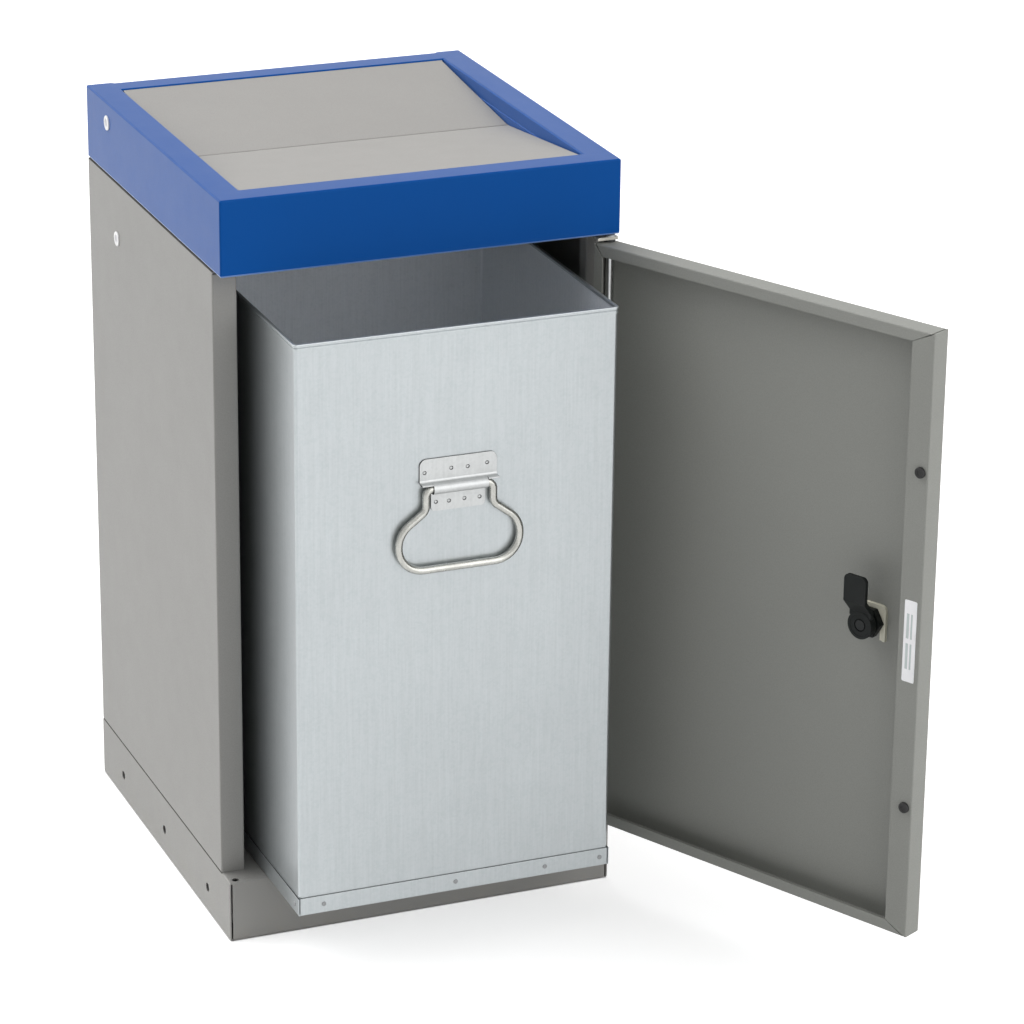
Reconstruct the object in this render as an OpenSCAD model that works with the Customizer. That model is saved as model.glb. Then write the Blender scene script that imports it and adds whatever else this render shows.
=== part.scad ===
// Waste sorting cabinet with a hood, two drop flaps, a pan door and a pull-out inner bin.
// Millimetres, +Z up, +Y to the back. The origin is on the floor, at the centre of the front face.
// The door stands open and the inner bin is partly pulled out.

/* [Cabinet] */
// Overall width of the plinth, the panels and the hood
cabinet_w = 350; // [330:5:400]
// Overall depth from the front face to the back
cabinet_d = 370; // [350:5:420]
// Overall height from the floor to the rim of the hood
cabinet_h = 660; // [600:10:760]
// Thickness of the painted steel sheet
sheet = 1.2; // [1:0.1:1.5]
// Height of the plinth
plinth_h = 55; // [45:1:80]
// Height of the hood
hood_h = 65; // [60:1:80]
// Shadow gap between the panels and the hood
hood_gap = 1; // [0.6:0.1:2]
// Setback of the door posts behind the front face
post_setback = 22; // [21.5:0.5:26]
// Width of the door posts folded from the side panels
post_w = 21; // [18:1:25]
// Depth of the fold behind each door post
post_return = 14; // [10:1:18]
// Width of the flanges on the upper, lower and back edges of the side panels
panel_flange = 15; // [12:1:18]
// Width of the foot flange folded in under the plinth
plinth_foot = 12; // [8:1:14]
// Open seam between folded edges at a corner
corner_seam = 0.8; // [0.5:0.1:1]
// Height of the two rails that tie the side panels together above
rail_h = 15; // [10:1:20]
// Width of the two rails
rail_w = 16; // [12:1:18]

/* [Holes and plugs] */
// Radius of the joining holes in the sides of the plinth
join_hole_r = 4; // [3:0.5:5]
// Height of the joining holes above the floor
join_hole_z = 23; // [18:1:26]
// Distance of the outer joining holes from the front and from the back
join_hole_in = 62; // [50:1:80]
// Radius of the plugged holes in the hood and in the side panels
plug_hole_r = 5; // [4:0.5:6]
// Width of the rim of a plug around its hole
plug_rim = 1.5; // [1:0.1:2]
// Height of a plug's head over the sheet
plug_head = 1.1; // [0.8:0.1:2]
// Distance of the hood's plugs from the back
hood_plug_back = 62; // [55:1:80]
// Distance of the hood's plugs below the rim
hood_plug_down = 18; // [17:1:22]
// Distance of the panels' plugs from the back
panel_plug_back = 84; // [60:1:100]
// Distance of the panels' plugs below the hood
panel_plug_down = 51; // [40:1:70]

/* [Fasteners] */
// Radius of the screws' shanks
screw_r = 2.5; // [2:0.5:3]
// Radius of the screws' heads
screw_head_r = 4.5; // [4:0.5:5]
// Height of the screws' heads
screw_head_h = 2.5; // [2:0.5:3]
// Length of the screws' shanks
screw_l = 12; // [10:1:16]
// Distance of the screws from the cabinet's sides
screw_side = 8; // [7:0.5:9]
// Distance of the screws from the front and from the back
screw_end = 58; // [50:1:70]
// Radius of the blind rivets' heads in the back
rivet_r = 3; // [2.5:0.5:3.5]
// Number of blind rivets up each side of the back
rivet_rows = 4; // [3:1:6]

/* [Flaps] */
// Width of the rim around the throw-in opening
rim_w = 25; // [22:1:30]
// Depth of the flange turned down inside the rim
rim_return = 13; // [12.5:0.5:16]
// Step of the hood's back wall in front of its side rims
hood_back_step = 2.5; // [1:0.5:4]
// Width of the foot flange inside the hood
hood_foot = 14; // [13:1:18]
// Depth of the flaps' meeting line below the rim
valley_drop = 18; // [14:1:24]
// Gap between the two flaps at the meeting line
valley_gap = 1.6; // [1.2:0.2:3]
// Gap between the flaps' ends and the hood's side flanges
flap_side_gap = 1.4; // [1.2:0.2:3]
// Gap between the flaps' hinge edge and the rim
flap_edge_gap = 0.4; // [0.3:0.1:1]
// Distance of the flaps' axes inside the rim's edge
flap_axis_in = 4.6; // [4.5:0.1:6]
// Distance of the flaps' axes below the rim
flap_axis_down = 7.6; // [7:0.1:8]
// Height of a flap's top face over its axis
flap_rise = 6; // [5.5:0.1:6.5]
// Radius of the ears around the flaps' axes
flap_ear_r = 4.1; // [3.5:0.1:4.2]
// Length over which a flap's side flange runs out at the meeting line
flap_taper = 25; // [15:1:40]
// Radius of the torsion rods that carry and close the flaps
torsion_rod_r = 1.25; // [1:0.25:1.5]
// Radius of the bushes' sleeves in the hood
flap_bush_r = 3.5; // [3:0.5:4]
// Thickness of the bushes' collars
flap_bush_collar = 0.8; // [0.6:0.1:1]

/* [Door] */
// Depth of the folded door pan
door_t = 19; // [16:0.5:20]
// Opening angle of the door
door_open = 117; // [90:1:120]
// Gap at each side of the closed door
door_side_gap = 1; // [0.8:0.1:1.5]
// Gap above the door
door_top_gap = 7; // [6:0.5:9]
// Gap below the door
door_bottom_gap = 6; // [4:0.5:8]
// Width of the inner flange on the door's free side
door_free_flange = 21; // [18:1:24]
// Width of the inner flange on the door's hinge side
door_hinge_flange = 9.5; // [8:0.5:12]
// Width of the inner flanges above and below
door_end_flange = 10; // [8:0.5:12]
// Radius of the hinge rod
hinge_rod_r = 3; // [2.5:0.5:3.5]
// Distance of the hinge axis from the cabinet's side
hinge_in_x = 7; // [6.5:0.5:8]
// Distance of the hinge axis behind the front face
hinge_in_y = 5.5; // [5:0.5:6]
// Thickness of the hinge plate
hinge_plate_t = 2.5; // [2:0.5:3]
// Radius of the hinge bush and washer
hinge_bush_r = 4.8; // [4.4:0.1:5]
// Radius of the door buffers
buffer_r = 4.6; // [4:0.1:5.5]
// Distance of the buffers' centres from the door's free edge
buffer_in = 7; // [6:0.5:9]
// Distance of the buffers from the ends of the door
buffer_end = 117; // [80:1:160]
// Width of the blank label
label_w = 12; // [10:1:14]
// Length of the blank label
label_l = 71; // [50:1:90]
// Distance of the label from the door's free edge
label_in = 4; // [3:0.5:6]

/* [Latch] */
// Distance of the latch from the door's free edge
latch_in = 60; // [56:1:62]
// Radius of the latch barrel
barrel_r = 9; // [8:0.5:10]
// Length of the latch barrel behind the door's skin
barrel_l = 12; // [12:1:14]
// Radius of the rosette outside
rosette_r = 15; // [13:1:18]
// Thickness of the rosette
rosette_t = 3; // [2:0.5:4]
// Width across the flats of the fixing nut
nut_flats = 24; // [22:1:26]
// Thickness of the fixing nut
nut_t = 6; // [4:0.5:7]
// Width of the horseshoe clip
clip_w = 30; // [26:1:34]
// Height of the horseshoe clip
clip_h = 31; // [28:1:34]
// Thickness of the horseshoe clip
clip_t = 3; // [2:0.5:4]
// Radius of the spindle
spindle_r = 5; // [4.5:0.5:5]
// Side of the spindle's square end
square_side = 7; // [6:0.5:7]
// Length of the spindle's square end
square_l = 5; // [5:0.5:7]
// Radius of the cam's boss
cam_boss_r = 12; // [10:0.5:12]
// Length of the cam's tongue from its axis to its tip
cam_l = 46; // [43:1:46]
// Width of the cam's tongue
cam_w = 22; // [18:1:22]
// Thickness of the cam's tongue
cam_t = 4; // [3:0.5:4]
// Gap between the cam's tongue and the door post behind which it locks
cam_gap = 1.2; // [0.8:0.1:2]
// Length of the grip of the turning knob
knob_l = 36; // [30:1:40]
// Thickness of the grip of the turning knob
knob_w = 9; // [7:1:11]
// Height of the grip over its disc
knob_h = 12; // [8:1:16]

/* [Inner bin] */
// Thickness of the galvanised sheet
bin_sheet = 0.8; // [0.6:0.1:1]
// Gap between the inner bin and each door post
bin_side_gap = 13; // [12.5:0.5:18]
// Distance of the pushed-in bin behind the front face
bin_in = 64; // [64:1:70]
// Gap between the pushed-in bin and the back
bin_back_gap = 2.6; // [2:0.2:6]
// Gap between the bin's rim and the hood
bin_top_gap = 35; // [35:1:60]
// How far the bin stands out in front of the cabinet
bin_out = 80; // [40:1:80]
// Running clearance under the bin
bin_lift = 0.3; // [0.2:0.1:0.5]
// Step between the shell's wall and the outside of the base flange and the hem
bin_step = 1; // [1:0.1:1.2]
// Height of the hem around the rim
hem_h = 6; // [5:0.5:8]
// Height of the flange of the base
base_flange_h = 16; // [12:1:20]
// Radius of the rivets in the base flange
bin_rivet_r = 2; // [1.5:0.1:2.5]

/* [Handle] */
// Radius of the bail's wire
wire_r = 3.25; // [2.75:0.25:3.5]
// Running clearance around the wire in its plate
wire_gap = 0.25; // [0.15:0.05:0.4]
// Thickness of the handle plate
plate_t = 1.2; // [1:0.1:1.5]
// Width of the plate's upper flange
plate_w = 68; // [66:1:74]
// Width of the plate's roll and lower flange
roll_w = 48; // [46:1:49]
// Height of the plate's upper flange over the bail's axis
plate_up = 25; // [20:1:30]
// Depth of the plate's lower flange below the bail's axis
plate_down = 21; // [16:1:24]
// Distance of the bail's axis below the bin's rim
handle_down = 136; // [110:1:180]
// Half the distance between the bail's necks
neck_half = 29.5; // [29:0.5:31]
// Straight length of the necks
neck_l = 8; // [4:0.1:14]
// Straight length of the flares below the necks
flare_l = 14.2; // [8:0.1:16]
// Straight length of the bail's sides
side_l = 1; // [0.5:0.1:6]
// Bending radius at the necks' upper ends
bend_top = 6; // [5.5:0.5:6.5]
// Bending radius at the necks' lower ends
bend_neck = 9; // [7:0.5:12]
// Bending radius at the bail's wide corners
bend_wide = 22; // [14:0.5:24]

/* [Hidden] */
$fn = 48;

// Small fits shared by the whole object
cut = 1;
run_fit = 0.08;
press_fit = 0.02;
seat_gap = 0.2;
screw_fit = 0.1;

// Cabinet
half_w = cabinet_w / 2;
hood_z = cabinet_h - hood_h;
panel_top = hood_z - hood_gap;
screw_x = half_w - screw_side;
screw_ys = [screw_end, cabinet_d - screw_end];
join_ys = [join_hole_in, cabinet_d / 2, cabinet_d - join_hole_in];
back_y = cabinet_d - 2 * sheet;
back_half = half_w - sheet - seat_gap;
back_low = plinth_h + sheet + seat_gap;
back_high = panel_top - sheet - seat_gap;
rivet_x = half_w - panel_flange / 2;
rivet_pitch = (back_high - back_low) / rivet_rows;
rivet_zs = [for (i = [0 : rivet_rows - 1]) back_low + rivet_pitch * (i + 0.5)];
rivet_shank_r = rivet_r / 2;
rivet_head_h = rivet_r / 3;
rail_y = post_setback + post_return - rail_w;
plug_head_r = plug_hole_r + plug_rim;
plug_well_r = plug_hole_r - plug_rim;
hood_plug = [half_w, cabinet_d - hood_plug_back, cabinet_h - hood_plug_down];
panel_plug = [half_w, cabinet_d - panel_plug_back, hood_z - panel_plug_down];

// Hood and flaps
open_half = half_w - rim_w;
hood_back = cabinet_d - hood_back_step;
flap_half = open_half - flap_side_gap;
flap_axis_y = rim_w + flap_axis_in;
flap_axis_z = cabinet_h - flap_axis_down;
flap_run = cabinet_d / 2 - valley_gap / 2 - flap_axis_y;
flap_fall = valley_drop - flap_axis_down;
flap_reach = sqrt(flap_run ^ 2 + flap_fall ^ 2 - flap_rise ^ 2);
flap_tilt = atan2(flap_rise, flap_reach) + atan2(flap_fall, flap_run);
flap_lip = (flap_axis_in - flap_edge_gap + flap_rise * sin(flap_tilt)) / cos(flap_tilt);
flap_bush_collar_r = flap_bush_r + flap_bush_collar;

// Door, in its closed place
hinge_x = half_w - hinge_in_x;
hinge_hole_r = hinge_rod_r + run_fit;
door_half = half_w - door_side_gap;
door_low = plinth_h + door_bottom_gap;
door_high = hood_z - door_top_gap;
plate_high = panel_top - sheet;
plate_low = plate_high - hinge_plate_t;
plate_left = half_w - post_w + sheet + seat_gap;
plate_right = half_w - sheet - seat_gap;
plate_front = door_side_gap - seat_gap;
plate_screw_gap = 3;
plate_back = screw_end - screw_head_r - plate_screw_gap;
rod_end = 6;
rod_head_r = 1.5 * hinge_rod_r;
rod_head_h = 1;
buffer_h = post_setback - door_t - 2 * seat_gap;
label_t = 0.3;

// Latch, on an axis along Y
latch_x = latch_in - door_half;
latch_z = (door_low + door_high) / 2;
barrel_hole_r = barrel_r + screw_fit;
spindle_gap = 0.3;
disc_t = 3.7;
rosette_rim = 3;
disc_r = rosette_r - rosette_rim;
tongue_y = post_setback + sheet + cam_gap;
cam_y = barrel_l + spindle_gap;
square_end = barrel_l + square_l;
cam_screw_r = 2.2;
cam_screw_l = 9;
cam_screw_gap = 1;
cam_head_r = 4.6;
cam_head_h = 1.8;
cam_well_gap = 0.8;
cam_well_r = cam_head_r + cam_well_gap;
cam_rim = 0.6;
slot_gap = 3;
slot_low = latch_z - cam_w / 2 - slot_gap;
slot_high = latch_z + cam_w + 2 * slot_gap;
slot_back = tongue_y + cam_t + slot_gap;

// Inner bin
bin_half = half_w - post_w - bin_side_gap;
bin_front = -bin_out;
bin_d = back_y - bin_in - bin_back_gap;
bin_back = bin_front + bin_d;
bin_low = plinth_h + bin_lift;
bin_top = hood_z - bin_top_gap;
shell_half = bin_half - bin_step;
shell_front = bin_front + bin_step;
shell_back = bin_back - bin_step;
shell_low = bin_low + bin_sheet;
flange_in = bin_step - bin_sheet;
bin_rivet_z = bin_low + base_flange_h / 2;
bin_rivet_h = 0.6;
corner_rivet = 9;
front_rivets = [-0.42, 0, 0.29, 0.47];

// Handle
plate_roll_r = wire_r + wire_gap + plate_t;
bail_y = shell_front - plate_roll_r;
bail_z = bin_top - handle_down;
plate_corner_r = 6;
flare = atan2(4, 3);
bail_half = neck_half + flare_l * sin(flare) + (bend_neck + bend_wide) * (1 - cos(flare));
grip_lap = 1;
bail_runs = [[neck_half - bend_top, bend_top, 90], [neck_l, bend_neck, -flare],
    [flare_l, bend_wide, flare], [side_l, bend_wide, 90], [bail_half - bend_wide + grip_lap]];

// A block given by its lowest and highest corners
module block(low, high) translate(low) cube(high - low);

// A pair of equal shapes, one on each side of the centre plane
module both_sides() {
    children();
    mirror([1, 0, 0]) children();
}

// A shape and its image about the middle of the cabinet's depth
module facing_back() translate([0, cabinet_d, 0]) mirror([0, 1, 0]) children();

// A cylinder along X that starts at the given point
module rod_x(at, r, l) translate(at) rotate([0, 90, 0]) cylinder(r = r, h = l);

// A cylinder along Y that starts at the given point
module rod_y(at, r, l) translate(at) rotate([-90, 0, 0]) cylinder(r = r, h = l);

// The open door's place
module opened() {
    translate([hinge_x, hinge_in_y, 0])
        rotate(door_open)
            translate([-hinge_x, -hinge_in_y, 0])
                children();
}

// The latch's axis on the closed door, with the skin's outer face at y = 0
module at_latch() translate([latch_x, 0, latch_z]) children();

// A flat plate in XZ, as thick as given, that starts at the given y
module upright(y, t) translate([0, y + t, 0]) rotate([90, 0, 0]) linear_extrude(t) children();

module plinth() {
    color("#9b9a97") difference() {
        union() {
            block([-half_w, 0, plinth_h - sheet], [half_w, cabinet_d, plinth_h]);
            both_sides() {
                block([half_w - sheet, 0, 0], [half_w, cabinet_d, plinth_h]);
                block([half_w - plinth_foot, plinth_foot + corner_seam, 0],
                    [half_w, cabinet_d - plinth_foot - corner_seam, sheet]);
            }
            plinth_end();
            facing_back() plinth_end();
        }
        both_sides() {
            for (y = join_ys)
                rod_x([half_w - sheet - cut, y, join_hole_z], join_hole_r, sheet + 2 * cut);
            for (y = screw_ys)
                translate([screw_x, y, plinth_h - sheet - cut])
                    cylinder(r = screw_r + screw_fit, h = sheet + 2 * cut);
            translate([hinge_x, hinge_in_y, plinth_h - sheet - cut])
                cylinder(r = hinge_hole_r, h = sheet + 2 * cut);
        }
    }
}

// The plinth's front wall and its foot, between the open corner seams
module plinth_end() {
    end_half = half_w - sheet - corner_seam;
    block([-end_half, 0, 0], [end_half, sheet, plinth_h]);
    block([-end_half, 0, 0], [end_half, plinth_foot, sheet]);
}

// The right-hand side panel, without the notch for the hinge plate
module side_panel() {
    difference() {
        union() {
            block([half_w - sheet, post_setback, plinth_h], [half_w, cabinet_d, panel_top]);
            block([half_w - post_w, post_setback, plinth_h],
                [half_w, post_setback + sheet, panel_top]);
            block([half_w - post_w, post_setback, plinth_h],
                [half_w - post_w + sheet, post_setback + post_return, panel_top]);
            block([half_w - panel_flange, cabinet_d - sheet, plinth_h],
                [half_w, cabinet_d, panel_top]);
            for (z = [plinth_h, panel_top - sheet])
                block([half_w - panel_flange, post_setback, z], [half_w, cabinet_d, z + sheet]);
        }
        rod_x(panel_plug - [sheet + cut, 0, 0], plug_hole_r + press_fit, sheet + 2 * cut);
        for (y = screw_ys, z = [plinth_h, panel_top - sheet])
            translate([screw_x, y, z - cut])
                cylinder(r = screw_r + screw_fit, h = sheet + 2 * cut);
        for (z = rivet_zs)
            rod_y([rivet_x, cabinet_d - sheet - cut, z], rivet_shank_r + press_fit,
                sheet + 2 * cut);
        block([half_w - post_w - cut, post_setback + sheet, slot_low],
            [half_w - post_w + sheet + cut, slot_back, slot_high]);
    }
}

module side_panel_left() {
    color("#adaca9") mirror([1, 0, 0]) side_panel();
}

module side_panel_right() {
    color("#adaca9") difference() {
        side_panel();
        block([plate_left - seat_gap, post_setback - cut, plate_low - seat_gap],
            [plate_right, post_setback + sheet + cut, plate_high]);
    }
}

module back_panel() {
    color("#a4a3a0") difference() {
        block([-back_half, back_y, back_low], [back_half, back_y + sheet, back_high]);
        both_sides() for (z = rivet_zs)
            rod_y([rivet_x, back_y - cut, z], rivet_shank_r + press_fit, sheet + 2 * cut);
    }
}

// A rail folded to an angle, on the upper flanges of both side panels
module top_rail() {
    rail_half = half_w - sheet - hood_foot;
    color("#a4a3a0") {
        block([-rail_half, rail_y, panel_top], [rail_half, rail_y + rail_w, panel_top + sheet]);
        block([-rail_half, rail_y, panel_top], [rail_half, rail_y + sheet, panel_top + rail_h]);
    }
}

module top_rail_front() top_rail();

module top_rail_rear() facing_back() top_rail();

module hood() {
    color("#0e4a8e") difference() {
        union() {
            block([-half_w, 0, hood_z], [half_w, sheet, cabinet_h]);
            block([-half_w, 0, hood_z], [half_w, hood_foot, hood_z + sheet]);
            block([-open_half, hood_back - sheet, hood_z], [open_half, hood_back, cabinet_h]);
            block([-open_half, hood_back - hood_foot, hood_z],
                [open_half, hood_back, hood_z + sheet]);
            both_sides() {
                block([half_w - sheet, 0, hood_z], [half_w, cabinet_d, cabinet_h]);
                block([half_w - hood_foot, 0, hood_z], [half_w, cabinet_d, hood_z + sheet]);
                block([open_half, 0, cabinet_h - sheet], [half_w, cabinet_d, cabinet_h]);
                block([open_half, rim_w - sheet, cabinet_h - rim_return],
                    [open_half + sheet, cabinet_d - rim_w + sheet, cabinet_h]);
                block([open_half, cabinet_d - sheet, hood_z], [half_w, cabinet_d, cabinet_h]);
                block([open_half - sheet, hood_back - sheet, hood_z],
                    [open_half + sheet, cabinet_d, cabinet_h]);
            }
            block([-open_half, 0, cabinet_h - sheet], [open_half, rim_w, cabinet_h]);
            block([-open_half, cabinet_d - rim_w, cabinet_h - sheet],
                [open_half, hood_back, cabinet_h]);
            for (y = [rim_w - sheet, cabinet_d - rim_w])
                block([-open_half, y, cabinet_h - rim_return], [open_half, y + sheet, cabinet_h]);
        }
        both_sides() {
            rod_x(hood_plug - [sheet + cut, 0, 0], plug_hole_r + press_fit, sheet + 2 * cut);
            for (y = screw_ys)
                translate([screw_x, y, hood_z - cut])
                    cylinder(r = screw_r + screw_fit, h = sheet + 2 * cut);
            for (y = [flap_axis_y, cabinet_d - flap_axis_y])
                rod_x([open_half - cut, y, flap_axis_z], flap_bush_r + press_fit,
                    sheet + 2 * cut);
        }
    }
}

// A plastic hole plug: a stem through the sheet and a flat head with a shallow well
module hole_plug(at) {
    stem_l = 3;
    well = 0.5;
    difference() {
        union() {
            rod_x(at - [sheet + stem_l, 0, 0], plug_hole_r, sheet + stem_l);
            rod_x(at, plug_head_r, plug_head);
        }
        rod_x(at + [plug_head - well, 0, 0], plug_well_r, well + cut);
    }
}

module hood_plugs() color("#e9e9e9") both_sides() hole_plug(hood_plug);

module panel_plugs() color("#e9e9e9") both_sides() hole_plug(panel_plug);

// A pan-head screw whose head bears on a face at the given point, with its shank upwards
module screw_up(at) {
    translate(at) cylinder(r = screw_r, h = screw_l);
    translate(at - [0, 0, screw_head_h]) cylinder(r = screw_head_r, h = screw_head_h);
}

module hood_screws() {
    color("silver") both_sides() for (y = screw_ys)
        screw_up([screw_x, y, panel_top - sheet]);
}

module hood_washers() {
    color("#303030") both_sides() for (y = screw_ys)
        translate([screw_x, y, panel_top]) difference() {
            cylinder(r = screw_head_r, h = hood_gap);
            translate([0, 0, -cut]) cylinder(r = screw_r + screw_fit, h = hood_gap + 2 * cut);
        }
}

module base_screws() {
    color("silver") both_sides() for (y = screw_ys)
        screw_up([screw_x, y, plinth_h - sheet]);
}

module back_rivets() {
    color("silver") both_sides() for (z = rivet_zs) {
        rod_y([rivet_x, back_y, z], rivet_shank_r, 2 * sheet);
        rod_y([rivet_x, cabinet_d, z], rivet_r, rivet_head_h);
    }
}

module hinge_plate() {
    color("#b5b09c") difference() {
        block([plate_left, plate_front, plate_low], [plate_right, plate_back, plate_high]);
        translate([hinge_x, hinge_in_y, plate_low - cut])
            cylinder(r = hinge_hole_r, h = hinge_plate_t + 2 * cut);
    }
}

module hinge_rod() {
    low = plinth_h - rod_end;
    color("#d8d8d6") {
        translate([hinge_x, hinge_in_y, low]) cylinder(r = hinge_rod_r, h = plate_high - low);
        translate([hinge_x, hinge_in_y, plate_high])
            cylinder(r = rod_head_r, h = rod_head_h);
    }
}

// A ring around the hinge rod, between two heights
module hinge_ring(low, high) {
    translate([hinge_x, hinge_in_y, low]) difference() {
        cylinder(r = hinge_bush_r, h = high - low);
        translate([0, 0, -cut]) cylinder(r = hinge_hole_r, h = high - low + 2 * cut);
    }
}

module hinge_bush_lower() color("#e6e2d6") hinge_ring(plinth_h, door_low - seat_gap);

module hinge_washer_upper() color("#e6e2d6") hinge_ring(door_high + seat_gap, plate_low);

// A nylon snap bush in the right-hand side flange of the hood
module flap_bush(y) {
    left = open_half - flap_bush_collar;
    length = sheet + 2 * flap_bush_collar;
    difference() {
        union() {
            rod_x([left, y, flap_axis_z], flap_bush_r, length);
            for (x = [left, open_half + sheet])
                rod_x([x, y, flap_axis_z], flap_bush_collar_r, flap_bush_collar);
        }
        rod_x([left - cut, y, flap_axis_z], torsion_rod_r + run_fit, length + 2 * cut);
    }
}

module flap_bushes() {
    color("#e6e2d6") both_sides() for (y = [flap_axis_y, cabinet_d - flap_axis_y]) flap_bush(y);
}

// The front flap's place: its axis along X, level, at the origin before this
module at_flap_axis() translate([0, flap_axis_y, flap_axis_z]) rotate([-flap_tilt, 0, 0]) children();

// A flap folded from sheet: a plate, two side flanges with ears, and an edge fold
module flap() {
    side = [[0, -flap_ear_r], [flap_reach - flap_taper, -flap_ear_r], [flap_reach, 0],
        [flap_reach, flap_rise], [0, flap_rise]];
    at_flap_axis() difference() {
        union() {
            block([-flap_half, -flap_lip, flap_rise - sheet], [flap_half, flap_reach, flap_rise]);
            block([-flap_half, flap_reach - sheet, 0], [flap_half, flap_reach, flap_rise]);
            both_sides() translate([flap_half - sheet, 0, 0]) {
                rotate([90, 0, 90]) linear_extrude(sheet) polygon(side);
                rod_x([0, 0, 0], flap_ear_r, sheet);
            }
        }
        rod_x([-flap_half - cut, 0, 0], torsion_rod_r + run_fit, 2 * (flap_half + cut));
    }
}

module flap_front() color("#b3b1ae") flap();

module flap_rear() color("#b3b1ae") facing_back() flap();

// The steel rod along a flap's axis, twisted to close the flap
module torsion_rod() {
    half = open_half + sheet + 2 * flap_bush_collar;
    rod_x([-half, flap_axis_y, flap_axis_z], torsion_rod_r, 2 * half);
}

module flap_front_torsion_rod() color("silver") torsion_rod();

module flap_rear_torsion_rod() color("silver") facing_back() torsion_rod();

// A slit along the mitre of the door's inner flanges, from an outer corner inwards
module mitre_slit(from, to) {
    run = to - from;
    translate(from) rotate(atan2(run[1], run[0]))
        translate([0, -corner_seam / 2]) square([norm(run) + corner_seam, corner_seam]);
}

module door_pan() {
    inner = [door_half - door_hinge_flange, door_high - door_end_flange];
    inner_low = [door_free_flange - door_half, door_low + door_end_flange];
    color("#828380") opened() difference() {
        union() {
            block([-door_half, 0, door_low], [door_half, sheet, door_high]);
            for (x = [-door_half, door_half - sheet])
                block([x, 0, door_low], [x + sheet, door_t, door_high]);
            for (z = [door_low, door_high - sheet])
                block([-door_half, 0, z], [door_half, door_t, z + sheet]);
            upright(door_t - sheet, sheet) difference() {
                translate([-door_half, door_low])
                    square([2 * door_half, door_high - door_low]);
                translate(inner_low) square(inner - inner_low);
                mitre_slit([sheet - door_half, door_low + sheet], inner_low);
                mitre_slit([sheet - door_half, door_high - sheet], [inner_low[0], inner[1]]);
                mitre_slit([door_half - sheet, door_low + sheet], [inner[0], inner_low[1]]);
                mitre_slit([door_half - sheet, door_high - sheet], inner);
            }
        }
        for (z = [door_low, door_high - sheet])
            translate([hinge_x, hinge_in_y, z - cut])
                cylinder(r = hinge_hole_r, h = sheet + 2 * cut);
        at_latch() rod_y([0, -cut, 0], barrel_hole_r, sheet + 2 * cut);
    }
}

module door_buffers() {
    color("#1c1c1c") opened() for (z = [door_low + buffer_end, door_high - buffer_end])
        rod_y([buffer_in - door_half, door_t, z], buffer_r, buffer_h);
}

module blank_label() {
    color("white") opened()
        block([label_in - door_half, door_t, latch_z - label_l / 2],
            [label_in + label_w - door_half, door_t + label_t, latch_z + label_l / 2]);
}

module latch_housing() {
    color("#22252a") opened() at_latch() difference() {
        union() {
            rod_y([0, -rosette_t, 0], rosette_r, rosette_t);
            rod_y([0, -rosette_t, 0], barrel_r, rosette_t + barrel_l);
        }
        rod_y([0, -rosette_t - cut, 0], spindle_r + run_fit, rosette_t + barrel_l + 2 * cut);
    }
}

// The horseshoe that grips the barrel behind the door's skin, open downwards
module latch_clip() {
    corner = 5;
    color("#cfcbb4") opened() at_latch() upright(sheet, clip_t) difference() {
        union() {
            translate([-clip_w / 2, -clip_h / 2]) square([clip_w, clip_h - corner]);
            translate([corner - clip_w / 2, -clip_h / 2]) square([clip_w - 2 * corner, clip_h]);
            for (x = [corner - clip_w / 2, clip_w / 2 - corner])
                translate([x, clip_h / 2 - corner]) circle(corner);
        }
        circle(barrel_hole_r);
        translate([-barrel_hole_r, -clip_h]) square([2 * barrel_hole_r, clip_h]);
    }
}

module latch_nut() {
    color("#1e2124") opened() at_latch() translate([0, sheet + clip_t, 0]) difference() {
        rotate([-90, 0, 0]) cylinder(r = nut_flats / sqrt(3), h = nut_t, $fn = 6);
        rod_y([0, -cut, 0], barrel_hole_r, nut_t + 2 * cut);
    }
}

// The outer knob with its spindle, squared at the inner end for the cam
module latch_knob() {
    disc_y = -rosette_t - spindle_gap - disc_t;
    color("#22252a") opened() at_latch() difference() {
        union() {
            rod_y([0, disc_y, 0], disc_r, disc_t);
            rod_y([0, disc_y, 0], spindle_r, barrel_l - disc_y);
            block([-knob_w / 2, disc_y - knob_h, -knob_l / 2], [knob_w / 2, disc_y, knob_l / 2]);
            block([-square_side / 2, barrel_l, -square_side / 2],
                [square_side / 2, square_end, square_side / 2]);
        }
        rod_y([0, square_end - cam_screw_l, 0], cam_screw_r, cam_screw_l + cut);
    }
}

// The cam: a boss on the square, and a cranked tongue that points up when unlocked
module latch_cam() {
    boss_top = square_end + cam_head_h + cam_rim;
    hole = square_side / 2 + run_fit;
    crank = [[cam_y, 0], [boss_top, 0], [boss_top, cam_boss_r], [tongue_y + cam_t, cam_l / 2],
        [tongue_y + cam_t, cam_l - cam_t], [tongue_y, cam_l - cam_t], [tongue_y, cam_l / 2 - cam_rim],
        [cam_y, cam_boss_r - cam_rim]];
    color("#1e2124") opened() at_latch() difference() {
        union() {
            rod_y([0, cam_y, 0], cam_boss_r, boss_top - cam_y);
            translate([-cam_w / 2, 0, 0])
                rotate([90, 0, 90]) linear_extrude(cam_w) polygon(crank);
            block([cam_t - cam_w / 2, tongue_y, cam_l - 2 * cam_t],
                [cam_w / 2 - cam_t, tongue_y + cam_t, cam_l]);
            for (x = [cam_t - cam_w / 2, cam_w / 2 - cam_t])
                rod_y([x, tongue_y, cam_l - cam_t], cam_t, cam_t);
        }
        block([-hole, cam_y - cut, -hole], [hole, square_end + run_fit, hole]);
        rod_y([0, square_end, 0], cam_well_r, boss_top - square_end + cut);
    }
}

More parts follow.
